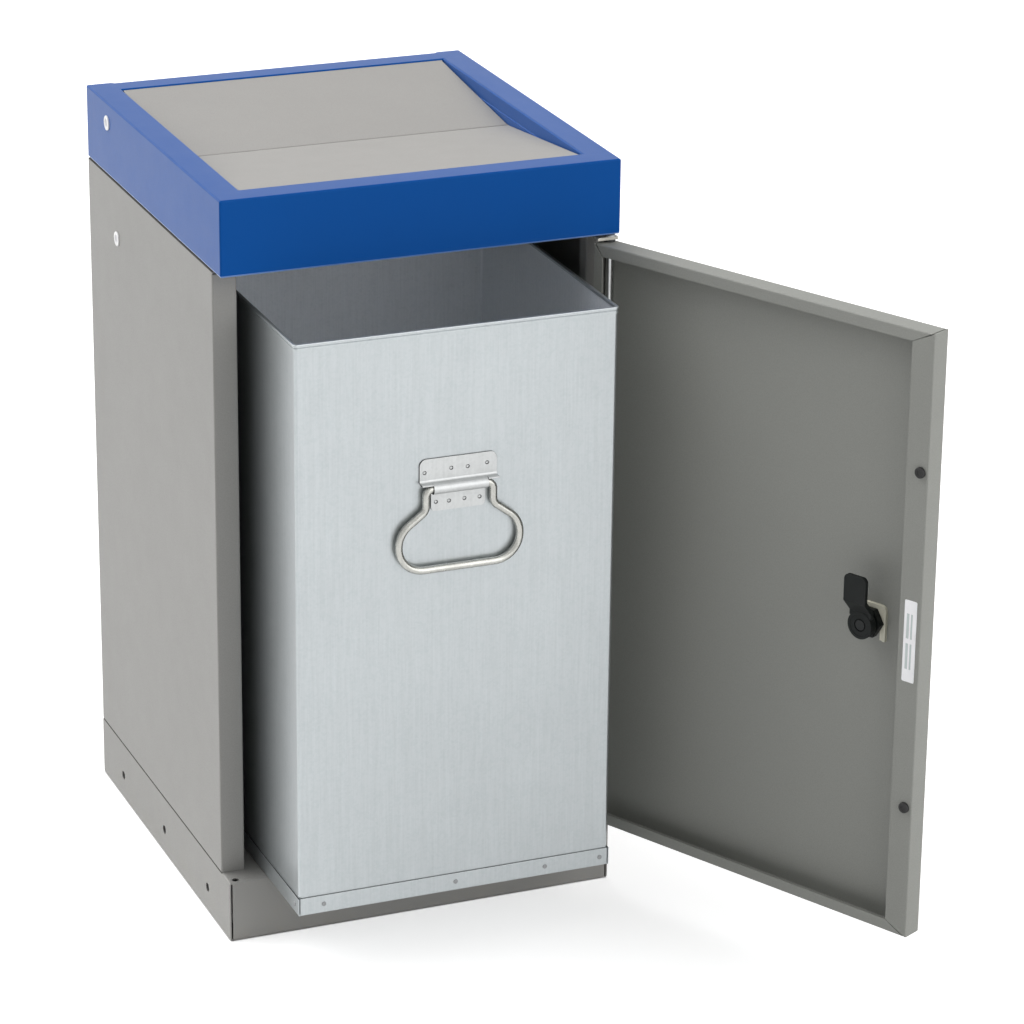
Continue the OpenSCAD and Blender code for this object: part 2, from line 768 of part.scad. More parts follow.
module latch_cam_screw() {
    color("#2a2d30") opened() at_latch() {
        rod_y([0, square_end - cam_screw_l + cam_screw_gap, 0], cam_screw_r - run_fit,
            cam_screw_l - cam_screw_gap + run_fit);
        rod_y([0, square_end + run_fit, 0], cam_head_r, cam_head_h);
    }
}

// A rectangular tube wall: outer block less inner block
module wall_ring(low, high, t) {
    difference() {
        block(low, high);
        block([low[0] + t, low[1] + t, low[2] - cut], [high[0] - t, high[1] - t, high[2] + cut]);
    }
}

module bin_shell() {
    color("#c5cacb") {
        wall_ring([-shell_half, shell_front, shell_low], [shell_half, shell_back, bin_top],
            bin_sheet);
        wall_ring([-bin_half, bin_front, bin_top - hem_h], [bin_half, bin_back, bin_top],
            bin_step + bin_sheet);
    }
}

module bin_base() {
    color("#c0c5c6") difference() {
        block([-bin_half, bin_front, bin_low], [bin_half, bin_back, bin_low + base_flange_h]);
        block([bin_sheet - bin_half, bin_front + bin_sheet, shell_low],
            [bin_half - bin_sheet, bin_back - bin_sheet, bin_low + base_flange_h + cut]);
        for (y = [bin_front, bin_back - bin_sheet - corner_seam])
            both_sides() block([bin_half - bin_sheet - corner_seam, y - cut, shell_low],
                [bin_half - bin_sheet, y + bin_sheet + corner_seam + cut, bin_top]);
    }
}

module bin_rivets() {
    base_l = 2 * bin_half;
    color("#b4b9ba") {
        for (share = front_rivets) {
            rod_y([share * base_l, bin_front - bin_rivet_h, bin_rivet_z], bin_rivet_r, bin_rivet_h);
            rod_y([share * base_l, bin_back, bin_rivet_z], bin_rivet_r, bin_rivet_h);
        }
        both_sides() for (y = [bin_front + corner_rivet, (bin_front + bin_back) / 2,
            bin_back - corner_rivet])
            rod_x([bin_half, y, bin_rivet_z], bin_rivet_r, bin_rivet_h);
    }
}

// The handle plate: an upper flange, a roll over the bail's wire, and a lower flange
module handle_plate() {
    bore = wire_r + wire_gap;
    face = plate_roll_r;
    color("#c9cbc8") translate([0, bail_y, bail_z]) {
        upright(face - plate_t, plate_t) {
            translate([-plate_w / 2, bore])
                square([plate_w, plate_up - bore - plate_corner_r]);
            translate([plate_corner_r - plate_w / 2, bore])
                square([plate_w - 2 * plate_corner_r, plate_up - bore]);
            for (x = [plate_corner_r - plate_w / 2, plate_w / 2 - plate_corner_r])
                translate([x, plate_up - plate_corner_r]) circle(plate_corner_r);
            translate([-roll_w / 2, -plate_down]) square([roll_w, plate_down - bore]);
        }
        block([-plate_w / 2, -wire_r, bore], [plate_w / 2, face, bore + plate_t]);
        translate([-roll_w / 2, 0, 0]) rotate([90, 0, 90]) linear_extrude(roll_w) difference() {
            union() {
                circle(plate_roll_r);
                translate([0, -plate_roll_r]) square([face, 2 * plate_roll_r]);
            }
            circle(bore);
            translate([0, -bore]) square([face + cut, 2 * bore]);
        }
    }
}

// A bend in round wire that starts along +X and turns down, or up with an angle under 0.
// Two blocks, each with a face on the end planes of the bend, cut it out of a full ring.
module wire_bend(radius, angle, r) {
    side = sign(angle);
    reach = radius + 2 * r;
    center = [0, 0, -side * radius];
    intersection() {
        translate(center) rotate([90, 0, 0]) rotate_extrude() translate([radius, 0]) circle(r);
        translate(center) block([0, -reach, -reach], [reach, reach, reach]);
        translate(center) rotate([0, angle, 0]) block([-reach, -reach, -reach], [0, reach, reach]);
    }
}

// Round wire along +X: each run is a straight length, then a bend's radius and its angle.
// The last run has no bend. A ball inside the wire ties each run to the bend before it.
module bent_wire(runs, r, i = 0) {
    run = runs[i];
    rotate([0, 90, 0]) cylinder(r = r, h = run[0]);
    sphere(r = r / 2);
    if (i < len(runs) - 1) translate([run[0], 0, 0]) {
        offset = [0, 0, sign(run[2]) * run[1]];
        wire_bend(run[1], run[2], r);
        translate(-offset) rotate([0, run[2], 0]) translate(offset) bent_wire(runs, r, i + 1);
    }
}

module handle_bail() {
    color("#bfbfba") translate([0, bail_y, bail_z]) both_sides() bent_wire(bail_runs, wire_r);
}

plinth();
side_panel_left();
side_panel_right();
back_panel();
top_rail_front();
top_rail_rear();
hood();
hood_plugs();
panel_plugs();
hood_screws();
hood_washers();
base_screws();
back_rivets();
hinge_plate();
hinge_rod();
hinge_bush_lower();
hinge_washer_upper();
flap_bushes();
flap_front();
flap_front_torsion_rod();
flap_rear();
flap_rear_torsion_rod();
door_pan();
door_buffers();
blank_label();
latch_housing();
latch_clip();
latch_nut();
latch_knob();
latch_cam();
latch_cam_screw();
bin_shell();
bin_base();
bin_rivets();
handle_plate();
handle_bail();
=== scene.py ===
import math

import bmesh
import bpy
from mathutils import Matrix, Vector


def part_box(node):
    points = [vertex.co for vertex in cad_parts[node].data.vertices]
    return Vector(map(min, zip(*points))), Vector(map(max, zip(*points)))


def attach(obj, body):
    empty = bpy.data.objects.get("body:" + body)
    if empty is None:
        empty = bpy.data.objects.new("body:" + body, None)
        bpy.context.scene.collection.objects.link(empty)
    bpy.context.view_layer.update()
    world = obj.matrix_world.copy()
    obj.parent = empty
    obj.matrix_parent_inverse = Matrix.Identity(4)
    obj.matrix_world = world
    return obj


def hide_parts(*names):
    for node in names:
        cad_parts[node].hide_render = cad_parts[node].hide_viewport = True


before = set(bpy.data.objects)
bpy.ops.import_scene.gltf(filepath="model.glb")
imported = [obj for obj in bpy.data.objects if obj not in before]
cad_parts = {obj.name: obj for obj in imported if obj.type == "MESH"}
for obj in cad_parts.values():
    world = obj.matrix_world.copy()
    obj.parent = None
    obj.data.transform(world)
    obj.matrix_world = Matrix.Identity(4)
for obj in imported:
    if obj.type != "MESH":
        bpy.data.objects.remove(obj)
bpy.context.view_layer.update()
print("frame loaded:", len(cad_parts), "nodes")

# Sizes are in millimetres, in the frame that the CAD nodes stand in. Pieces of the door are built
# closed and then swung open. A cutEdge is the rounding of a sheet's cut edges.
cabinet = {"half": 175, "depth": 370, "plinth": 55, "panelTop": 594, "hoodLow": 595, "top": 660,
           "sheet": 1.2, "cutEdge": 0.16}
door = {"hinge": (168, 5.5), "openAngle": 117, "half": 174, "low": 61, "high": 588, "depth": 19,
        "free": 21, "hingeSide": 9.5, "ends": 10,  # widths of the inner flanges
        "fold": 1.4, "flangeFold": 1.26, "cornerGap": 2.5, "mitreGap": 0.2, "cornerSeam": 0.6}

margin = 1  # keeps a test clear of what lies beside it
overshoot = 5  # how far a cutter goes past what it cuts
cleaning = {"merge": 0.002, "sliver": 0.001, "flat": 0.5}  # distances, and an angle in degrees


def mm(*values):
    return Vector(values) * 0.001


# Working in edit mode

def deselectAll():
    if bpy.context.mode != "OBJECT":
        bpy.ops.object.mode_set(mode="OBJECT")
    for other in bpy.context.selected_objects:
        other.select_set(False)


def activate(piece):
    deselectAll()
    piece.select_set(True)
    bpy.context.view_layer.objects.active = piece


def applyPlace(piece):
    activate(piece)
    bpy.ops.object.transform_apply(location=True, rotation=True, scale=True)


def settle(name):
    made = bpy.context.object
    made.name = name
    applyPlace(made)
    return made


def newBox(name, low, high):
    deselectAll()
    bpy.ops.mesh.primitive_cube_add(size=1, location=(low + high) / 2, scale=high - low)
    return settle(name)


facings = {"+X": (0, 90, 0), "-X": (0, -90, 0), "+Y": (-90, 0, 0), "-Y": (90, 0, 0),
           "+Z": (0, 0, 0), "-Z": (180, 0, 0)}


def newSheet(name, low, high, facing):
    deselectAll()
    x, y, z = high - low
    bpy.ops.mesh.primitive_plane_add(size=1, location=(low + high) / 2,
                                     rotation=[math.radians(a) for a in facings[facing]])
    bpy.context.object.scale = {"X": (z, y, 1), "Y": (x, z, 1), "Z": (x, y, 1)}[facing[1]]
    return settle(name)


def newRod(name, start, direction, radius, length, sides=32):
    deselectAll()
    turn = Vector((0, 0, 1)).rotation_difference(Vector(direction)).to_euler()
    bpy.ops.mesh.primitive_cylinder_add(radius=radius * 0.001, depth=length * 0.001, vertices=sides,
                                        rotation=turn,
                                        location=start + Vector(direction) * length * 0.0005)
    return settle(name)


def edit():
    if bpy.context.mode == "OBJECT":
        bpy.ops.object.mode_set(mode="EDIT")


def editAll():
    edit()
    bpy.ops.mesh.select_all(action="SELECT")


def pick(kind, test):
    # kind is VERT, EDGE or FACE; the test gets the middle in millimetres and the element itself
    edit()
    bpy.ops.mesh.select_mode(type=kind)
    bpy.ops.mesh.select_all(action="DESELECT")
    mesh = bmesh.from_edit_mesh(bpy.context.object.data)
    mesh.normal_update()
    for item in {"VERT": mesh.verts, "EDGE": mesh.edges, "FACE": mesh.faces}[kind]:
        corners = [item] if kind == "VERT" else item.verts
        middle = sum((v.co for v in corners), Vector()) * (1000 / len(corners))
        if test(middle, item):
            item.select_set(True)
    mesh.select_flush_mode()
    bmesh.update_edit_mesh(bpy.context.object.data)


def close(value, target, slack=0.05):
    return abs(value - target) < slack


def at(**targets):
    return lambda c: all(close(getattr(c, axis), value) for axis, value in targets.items())


def isFold(edge, sharper):
    return len(edge.link_faces) == 2 and edge.calc_face_angle() > math.radians(sharper)


def extrude(*move):
    bpy.ops.mesh.extrude_region_move(TRANSFORM_OT_translate={"value": mm(*move)})


def inset(width):
    bpy.ops.mesh.inset(thickness=width * 0.001, depth=0)


def bevel(width, steps, affect="EDGES", clamp=False):
    bpy.ops.mesh.bevel(offset=width * 0.001, segments=steps, affect=affect, clamp_overlap=clamp)


def foldEdges(test, move):
    pick("EDGE", lambda c, e: e.is_boundary and test(c))
    extrude(*move)


def slide(test, move):
    pick("VERT", lambda c, v: test(c))
    bpy.ops.transform.translate(value=mm(*move))


def cutAt(axis, values, test=None):
    normal = [0, 0, 0]
    normal["XYZ".index(axis)] = 1
    for value in values:
        pick("FACE", lambda c, f: test is None or test(c))
        bpy.ops.mesh.bisect(plane_co=Vector(normal) * value * 0.001, plane_no=normal)


def removeFaces(test):
    pick("FACE", lambda c, f: test(c))
    bpy.ops.mesh.delete(type="FACE")


def roundFolds(radius, steps=3, sharper=60, test=None):
    pick("EDGE", lambda c, e: isFold(e, sharper) and (test is None or test(c)))
    bevel(radius, steps, clamp=True)


def mergeDoubles():
    editAll()
    bpy.ops.mesh.remove_doubles(threshold=cleaning["merge"] * 0.001)


def modify(piece, kind, **settings):
    activate(piece)
    bpy.ops.object.modifier_add(type=kind)
    modifier = piece.modifiers[-1]
    for key, value in settings.items():
        setattr(modifier, key, value)
    bpy.ops.object.modifier_apply(modifier=modifier.name)


def giveThickness(piece, thickness):
    modify(piece, "SOLIDIFY", thickness=thickness * 0.001, offset=-1, use_even_offset=True)


def softenEdges(piece, width, angle=50, steps=2):
    modify(piece, "BEVEL", width=width * 0.001, segments=steps, limit_method="ANGLE",
           angle_limit=math.radians(angle))


def thicken(piece, sizes):
    giveThickness(piece, sizes["sheet"])
    softenEdges(piece, sizes["cutEdge"])


def smoothBy(piece, angle=40):
    # faces without area, left by bevels that meet, go before the shading is set
    activate(piece)
    editAll()
    bpy.ops.mesh.dissolve_degenerate(threshold=cleaning["sliver"] * 0.001)
    activate(piece)
    bpy.ops.object.shade_smooth_by_angle(angle=math.radians(angle))
    modify(piece, "WEIGHTED_NORMAL", keep_sharp=True)


def drill(piece, cutters):
    for cutter in cutters:
        modify(piece, "BOOLEAN", operation="DIFFERENCE", solver="EXACT", object=cutter)
        bpy.data.objects.remove(cutter)


def copyOf(piece, name, matrix):
    twin = piece.copy()
    twin.data = piece.data.copy()
    twin.name = name
    bpy.context.scene.collection.objects.link(twin)
    twin.matrix_world = matrix @ piece.matrix_world
    applyPlace(twin)
    return twin


def joinAll(pieces, name):
    deselectAll()
    for piece in pieces:
        piece.select_set(True)
    bpy.context.view_layer.objects.active = pieces[0]
    bpy.ops.object.join()
    bpy.context.object.name = name
    return bpy.context.object


def swingOpen(piece):
    hinge = Matrix.Translation(mm(*door["hinge"], 0))
    turn = Matrix.Rotation(math.radians(door["openAngle"]), 4, "Z")
    piece.matrix_world = hinge @ turn @ hinge.inverted()
    applyPlace(piece)


def place(piece, body, finish, nodeName):
    activate(piece)
    piece.data.materials.clear()
    piece.data.materials.append(finishes[finish])
    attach(piece, body)
    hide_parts(nodeName)
    deselectAll()
    print("made", piece.name)


def finishFaces(piece, finish, test):
    # the test gets a face's middle in millimetres and its normal
    piece.data.materials.append(finishes[finish])
    for face in piece.data.polygons:
        if test(face.center * 1000, face.normal):
            face.material_index = len(piece.data.materials) - 1


# Finishes: in the settings, a noise is its scale, detail and roughness, and tones are places on the
# noise, each with a grey that the colour is multiplied by

def newMaterial(name, metallic=0.0, specular=0.5, sheen=0.0, sheenRoughness=0.3):
    material = bpy.data.materials.new(name)
    material.use_nodes = True
    shader = material.node_tree.nodes["Principled BSDF"]
    shader.inputs["Metallic"].default_value = metallic
    shader.inputs["Specular IOR Level"].default_value = specular
    shader.inputs["Sheen Weight"].default_value = sheen
    shader.inputs["Sheen Roughness"].default_value = sheenRoughness
    return material


def node(material, kind, **values):
    made = material.node_tree.nodes.new("ShaderNode" + kind)
    for key, value in values.items():
        if hasattr(made, key):
            setattr(made, key, value)
        else:
            made.inputs[key].default_value = value
    return made


def link(material, source, target):
    material.node_tree.links.new(source, target)


def feed(material, socket, value):
    # a socket takes either another node's output or a fixed value
    if hasattr(value, "is_linked"):
        link(material, value, socket)
    else:
        socket.default_value = (*value, 1) if isinstance(value, tuple) else value


def calc(material, operation, *values):
    made = node(material, "Math", operation=operation)
    for socket, value in zip(made.inputs, values):
        feed(material, socket, value)
    return made.outputs[0]


def objectCoords(material, scale=(1, 1, 1)):
    coords = node(material, "TexCoord")
    mapping = node(material, "Mapping", Scale=scale)
    link(material, coords.outputs["Object"], mapping.inputs["Vector"])
    return mapping.outputs["Vector"]


def noise(material, coords, scale, detail, roughness=0.5):
    made = node(material, "TexNoise", Scale=scale, Detail=detail, Roughness=roughness)
    link(material, coords, made.inputs["Vector"])
    return made.outputs["Fac"]


def ramp(material, source, stops):
    made = node(material, "ValToRGB")
    elements = made.color_ramp.elements
    elements[0].position, elements[0].color = stops[0][0], (*stops[0][1], 1)
    elements[1].position, elements[1].color = stops[-1][0], (*stops[-1][1], 1)
    for position, colour in stops[1:-1]:
        elements.new(position).color = (*colour, 1)
    link(material, source, made.inputs["Fac"])
    return made.outputs["Color"]


def greys(material, source, tones):
    return ramp(material, source, [(spot, (value, value, value)) for spot, value in tones])


def blend(material, how, factor, a, b):
    made = node(material, "Mix", data_type="RGBA", blend_type=how)
    for index, value in ((0, factor), (6, a), (7, b)):  # the sockets of a mix of colours
        feed(material, made.inputs[index], value)
    return made.outputs[2]


def shade(material, tone, source, tones):
    return blend(material, "MULTIPLY", 1.0, tone, greys(material, source, tones))


def spread(material, source, low, high, start=0.3, end=0.7):
    # start to end of the source becomes low to high
    made = node(material, "MapRange")
    for key, value in (("From Min", start), ("From Max", end), ("To Min", low), ("To Max", high)):
        made.inputs[key].default_value = value
    link(material, source, made.inputs["Value"])
    return made.outputs["Result"]


def wire(material, tone, shine, height, depth):
    bump = node(material, "Bump", Strength=1.0, Distance=depth * 0.001)
    link(material, height, bump.inputs["Height"])
    shader = material.node_tree.nodes["Principled BSDF"]
    link(material, tone, shader.inputs["Base Color"])
    link(material, shine, shader.inputs["Roughness"])
    link(material, bump.outputs["Normal"], shader.inputs["Normal"])
    return material


def srgb(r, g, b):
    shares = (value / 255 for value in (r, g, b))
    return tuple(v / 12.92 if v <= 0.04 else ((v + 0.055) / 1.055) ** 2.4 for v in shares)


powder = {"clouds": (5.0, 4.0), "cloudTones": ((0.3, 0.97), (0.7, 1.02)),
          "specks": (1900.0, 1.0), "speckTones": ((0.30, 0.90), (0.5, 1.0), (0.72, 1.07)),
          "rub": (34.0, 5.0, 0.6), "smoother": 0.025, "rougher": 0.03, "peel": (620.0, 2.0, 0.45),
          "dust": (28.0, 6.0, 0.65), "dustPatches": (0.45, 0.75), "dustHeight": 50,
          "dustColour": srgb(150, 145, 134)}


def powderCoat(name, colour, roughness, specular, peel=0.03, dust=0.0, sheen=0.0):
    # orange peel, a faint cloudiness, fine specks of a lighter grain and a little dust low down
    material = newMaterial(name, specular=specular, sheen=sheen)
    coords = objectCoords(material)
    tone = shade(material, colour, noise(material, coords, *powder["clouds"]), powder["cloudTones"])
    tone = shade(material, tone, noise(material, coords, *powder["specks"]), powder["speckTones"])
    shine = spread(material, noise(material, coords, *powder["rub"]),
                   roughness - powder["smoother"], roughness + powder["rougher"])
    height = noise(material, coords, *powder["peel"])
    if dust:
        split = node(material, "SeparateXYZ")
        link(material, coords, split.inputs[0])
        low = spread(material, split.outputs["Z"], 1.0, 0.0, 0.0, powder["dustHeight"] * 0.001)
        patch = spread(material, noise(material, coords, *powder["dust"]), 0.0, dust,
                       *powder["dustPatches"])
        amount = calc(material, "MULTIPLY", low, patch)
        tone = blend(material, "MIX", amount, tone, powder["dustColour"])
    return wire(material, tone, shine, height, peel)


spangle = {"crystals": (520.0, 150.0), "largeShare": 0.5, "toneRange": (0.1, 1.0),
           "glossRange": (0.1, 1.4), "smoother": 0.005, "rougher": 0.01,
           "streakStretch": (640, 640, 20), "streaks": (1.0, 3.0, 0.55),
           "streakTones": ((0.3, 0.955), (0.7, 1.03)), "streakDepth": 0.002,
           "stains": (7.0, 5.0, 0.6), "stainTones": ((0.35, 0.97), (0.65, 1.01))}


def galvanised(name, dark, light, metallic, roughness):
    # fine zinc spangle: two sizes of crystals with their own tone and gloss, and upright streaks
    material = newMaterial(name, metallic=metallic)
    coords = objectCoords(material)
    sizes = []
    for scale in spangle["crystals"]:
        crystals = node(material, "TexVoronoi", Scale=scale, Randomness=1.0)
        link(material, coords, crystals.inputs["Vector"])
        own = node(material, "SeparateColor")
        link(material, crystals.outputs["Color"], own.inputs[0])
        sizes.append(own.outputs[0])
    mixed = calc(material, "MULTIPLY_ADD", sizes[1], spangle["largeShare"], sizes[0])
    first, last = spangle["toneRange"]
    tone = ramp(material, mixed, [(first, dark), (last, light)])
    streaks = noise(material, objectCoords(material, spangle["streakStretch"]), *spangle["streaks"])
    tone = shade(material, tone, streaks, spangle["streakTones"])
    tone = shade(material, tone, noise(material, coords, *spangle["stains"]), spangle["stainTones"])
    shine = spread(material, mixed, roughness - spangle["smoother"], roughness + spangle["rougher"],
                   *spangle["glossRange"])
    return wire(material, tone, shine, streaks, spangle["streakDepth"])


drawn = {"lineStretch": (400, 400, 30), "lines": (1.0, 4.0, 0.55),
         "lineTones": ((0.3, 0.90), (0.7, 1.05)), "lineDepth": 0.008,
         "spots": (130.0, 4.0, 0.6), "spotTones": ((0.35, 0.93), (0.6, 1.0)),
         "smoother": 0.03, "rougher": 0.1}


def drawnMetal(name, colour, roughness, metallic=1.0):
    # rolled, drawn or plated metal with a fine direction of its own
    material = newMaterial(name, metallic=metallic)
    lines = noise(material, objectCoords(material, drawn["lineStretch"]), *drawn["lines"])
    spots = noise(material, objectCoords(material), *drawn["spots"])
    tone = shade(material, colour, lines, drawn["lineTones"])
    tone = shade(material, tone, spots, drawn["spotTones"])
    shine = spread(material, spots, roughness + drawn["rougher"], roughness - drawn["smoother"])
    return wire(material, tone, shine, lines, drawn["lineDepth"])


mould = {"clouds": (40.0, 4.0), "cloudTones": ((0.3, 0.93), (0.7, 1.05)), "grainDetail": 2.0,
         "smoother": 0.04, "rougher": 0.08}


def moulded(name, colour, roughness, grain=900.0, depth=0.02, specular=0.5):
    # moulded plastic or rubber: a fine eroded texture, slightly uneven in gloss
    material = newMaterial(name, specular=specular)
    coords = objectCoords(material)
    clouds = noise(material, coords, *mould["clouds"])
    tone = shade(material, colour, clouds, mould["cloudTones"])
    shine = spread(material, clouds, roughness - mould["smoother"], roughness + mould["rougher"])
    return wire(material, tone, shine, noise(material, coords, grain, mould["grainDetail"]), depth)


finishes = {
    "cabinet": powderCoat("cabinetPowderCoat", srgb(141, 140, 137), 0.5, 0.4, dust=0.3),
    # painted shade: a dark paint laid into the folds that lie in shadow
    "groove": powderCoat("cabinetGroovePaintedShade", srgb(78, 76, 73), 0.7, 0.1),
    "hood": powderCoat("hoodBluePowderCoat", srgb(0, 75, 150), 0.4, 0.08, peel=0.02, sheen=0.5),
    # painted highlight for the hood's lower fold
    "hoodPaintedHighlight": powderCoat("hoodEdgePaintedHighlight", srgb(96, 132, 192), 0.34, 0.5, peel=0.02, sheen=0.8),
    # painted light: the flaps and the door take copies of the cabinet's paint, made lighter
    "flap": powderCoat("flapPowderCoatPaintedLight", srgb(152, 150, 147), 0.52, 0.35),
    "door": powderCoat("doorPowderCoatPaintedLight", srgb(142, 143, 138), 0.5, 0.35),
    "galvanised": galvanised("galvanisedSpangle", srgb(173, 179, 181), srgb(178, 183, 185),
                             0.75, 0.295),
    # painted light: a brighter, less metallic copy of the zinc for the inside of the bin
    "galvanisedInsidePaintedLight": galvanised("galvanisedInsidePaintedLight", srgb(240, 244, 247), srgb(247, 250, 253),
                                   0.25, 0.4),
    "plateSheet": galvanised("plateSheet", srgb(185, 187, 187), srgb(191, 193, 193), 0.7, 0.42),
    # the dark steel of a cut edge, also used as painted shade on edges, dents and undersides that
    # lie in shadow
    "cutEdge": drawnMetal("cutEdgeAndPaintedShade", srgb(70, 71, 70), 0.55, 0.5),
    "zinc": drawnMetal("zincPlate", srgb(188, 190, 190), 0.3),
    "rivet": drawnMetal("rivetHead", srgb(144, 146, 147), 0.4, 0.6),
    "hingePlate": drawnMetal("hingePlateZinc", srgb(196, 193, 184), 0.4, 0.8),
    "handle": drawnMetal("handleSteel", srgb(176, 176, 171), 0.24),
    "plug": moulded("plugPlastic", srgb(236, 236, 236), 0.35),
    "plugWell": moulded("plugWellPlastic", srgb(206, 207, 210), 0.5),
    "nylon": moulded("nylonDark", srgb(46, 47, 48), 0.4),
    "black": moulded("blackNylonLatch", srgb(13, 17, 16), 0.5, specular=0.2),
    "ivory": moulded("ivoryClip", srgb(222, 219, 201), 0.4),
    "rubber": moulded("blackRubber", srgb(24, 24, 24), 0.62, 1300.0, 0.04),
    "label": moulded("labelFilm", srgb(250, 250, 252), 0.3, 300.0, 0.004),
    "labelField": moulded("labelFieldFilm", srgb(196, 205, 204), 0.35, 300.0, 0.004),
    "blackSteel": drawnMetal("blackOxideSteel", srgb(18, 21, 21), 0.5, 0.4),
}
print("finishes made:", len(finishes))


# Plinth: a box folded down from the cabinet's floor, with open corner seams and a foot turned in

plinth = {"foot": 12, "footGap": 1, "seam": 2.6, "fold": 1.9, "panelStart": 22,
          "holes": (62, 185, 308), "holeRadius": 4, "holeHeight": 23, "pivotRadius": 3.08}


def makePlinth():
    half, depth, top = cabinet["half"], cabinet["depth"], cabinet["plinth"]
    foot, fold, front = plinth["foot"], plinth["fold"], half - plinth["seam"]
    piece = newSheet("plinthShell", mm(-half, 0, top), mm(half, depth, top), "+Z")
    cutAt("X", (-front, front))
    for y in (0, depth):
        foldEdges(lambda c: close(c.y, y) and abs(c.x) < front - margin, (0, 0, -top))
    for side in (-1, 1):
        foldEdges(at(x=side * half), (0, 0, -top))
    for y, inward in ((0, foot), (depth, -foot)):
        foldEdges(lambda c: close(c.y, y) and close(c.z, 0) and abs(c.x) < front - margin,
                  (0, inward, 0))
        for side in (1, -1):
            slide(lambda c: close(c.z, 0) and close(c.y, y + inward) and side * c.x > 0,
                  (-side * foot, 0, 0))
    for side in (-1, 1):
        foldEdges(at(x=side * half, z=0), (-side * foot, 0, 0))
        inner = side * (half - foot)
        for y, inward in ((0, foot + plinth["footGap"]), (depth, -foot - plinth["footGap"])):
            slide(at(x=inner, z=0, y=y), (0, inward, 0))
    cutAt("Y", (plinth["panelStart"],))
    roundFolds(fold)
    giveThickness(piece, cabinet["sheet"])
    drill(piece, [newRod("holeCutter", mm(-half - overshoot, y, plinth["holeHeight"]), (1, 0, 0),
                         plinth["holeRadius"], 2 * (half + overshoot)) for y in plinth["holes"]])
    pivotX, pivotY = door["hinge"]
    drill(piece, [newRod("pivotCutter", mm(side * pivotX, pivotY, top - overshoot), (0, 0, 1),
                         plinth["pivotRadius"], 2 * overshoot) for side in (-1, 1)])
    softenEdges(piece, cabinet["cutEdge"])
    smoothBy(piece)
    place(piece, "cabinet", "cabinet", "plinth")
    # painted shade: the fold that the side panels stand on lies in shadow and is given the dark
    # groove paint
    finishFaces(piece, "groove", lambda c, n: c.y > plinth["panelStart"]
                and c.z > top - fold and abs(c.x) > half - fold and 0.3 < n.z < 0.98)


# Side panels: post with its return in front, flanges on the other edges, a slot for the latch's cam

sidePanel = {"front": 22, "post": 21, "postReturn": 14, "postGap": 2.4, "flange": 15, "fold": 1.5,
             "frontNotch": 2.5, "backNotch": 15,  # what the ends of the flanges are set back by
             "slotLow": 311, "slotHigh": 351.5, "slotFront": 24.6, "slotBack": 31.4}


def makeSidePanel(name, side, nodeName):
    half, depth = cabinet["half"], cabinet["depth"]
    low, high = cabinet["plinth"], cabinet["panelTop"]
    front, post, flange = sidePanel["front"], half - sidePanel["post"], sidePanel["flange"]
    slotLow, slotHigh = sidePanel["slotLow"], sidePanel["slotHigh"]
    slotFront, slotBack = sidePanel["slotFront"], sidePanel["slotBack"]
    piece = newSheet(name, mm(side * half, front, low), mm(side * half, depth, high),
                     "+X" if side > 0 else "-X")
    foldEdges(at(y=front), (-side * sidePanel["post"], 0, 0))
    foldEdges(at(x=side * post, y=front), (0, sidePanel["postReturn"], 0))
    cutAt("Z", (slotLow, slotHigh), at(x=side * post))
    cutAt("Y", (slotFront, slotBack), at(x=side * post))
    removeFaces(lambda c: close(c.x, side * post) and slotLow < c.z < slotHigh
                and slotFront < c.y < slotBack)
    postTop = high - sidePanel["postGap"]
    cutAt("Z", (postTop,), lambda c: not close(c.x, side * half))
    removeFaces(lambda c: not close(c.x, side * half) and c.z > postTop)
    inner = side * (half - flange)
    for z in (low, high):
        foldEdges(at(x=side * half, z=z), (-side * flange, 0, 0))
        for y, inward in ((front, sidePanel["frontNotch"]), (depth, -sidePanel["backNotch"])):
            slide(at(x=inner, z=z, y=y), (0, inward, 0))
    foldEdges(at(x=side * half, y=depth), (-side * flange, 0, 0))
    roundFolds(sidePanel["fold"])
    thicken(piece, cabinet)
    smoothBy(piece)
    place(piece, "cabinet", "cabinet", nodeName)
    # painted shade: the fold in the gap under the hood lies in shadow too and is given the dark
    # groove paint
    finishFaces(piece, "groove", lambda c, n: c.z > high - sidePanel["fold"]
                and abs(c.x) > half - sidePanel["fold"] and n.z > 0.6)


# Hood: a rim turned down around the opening, with a ledge and a strip inside each side, a foot
# turned in below, and a back wall stepped forward between the side rims

hood = {"rim": 25, "drop": 12, "ledge": 0.8, "strip": 11, "foot": 14, "fold": 1.7,
        "backStep": 2.5, "stepWidth": 3, "highlightBand": 1.5, "highlightBack": 5}


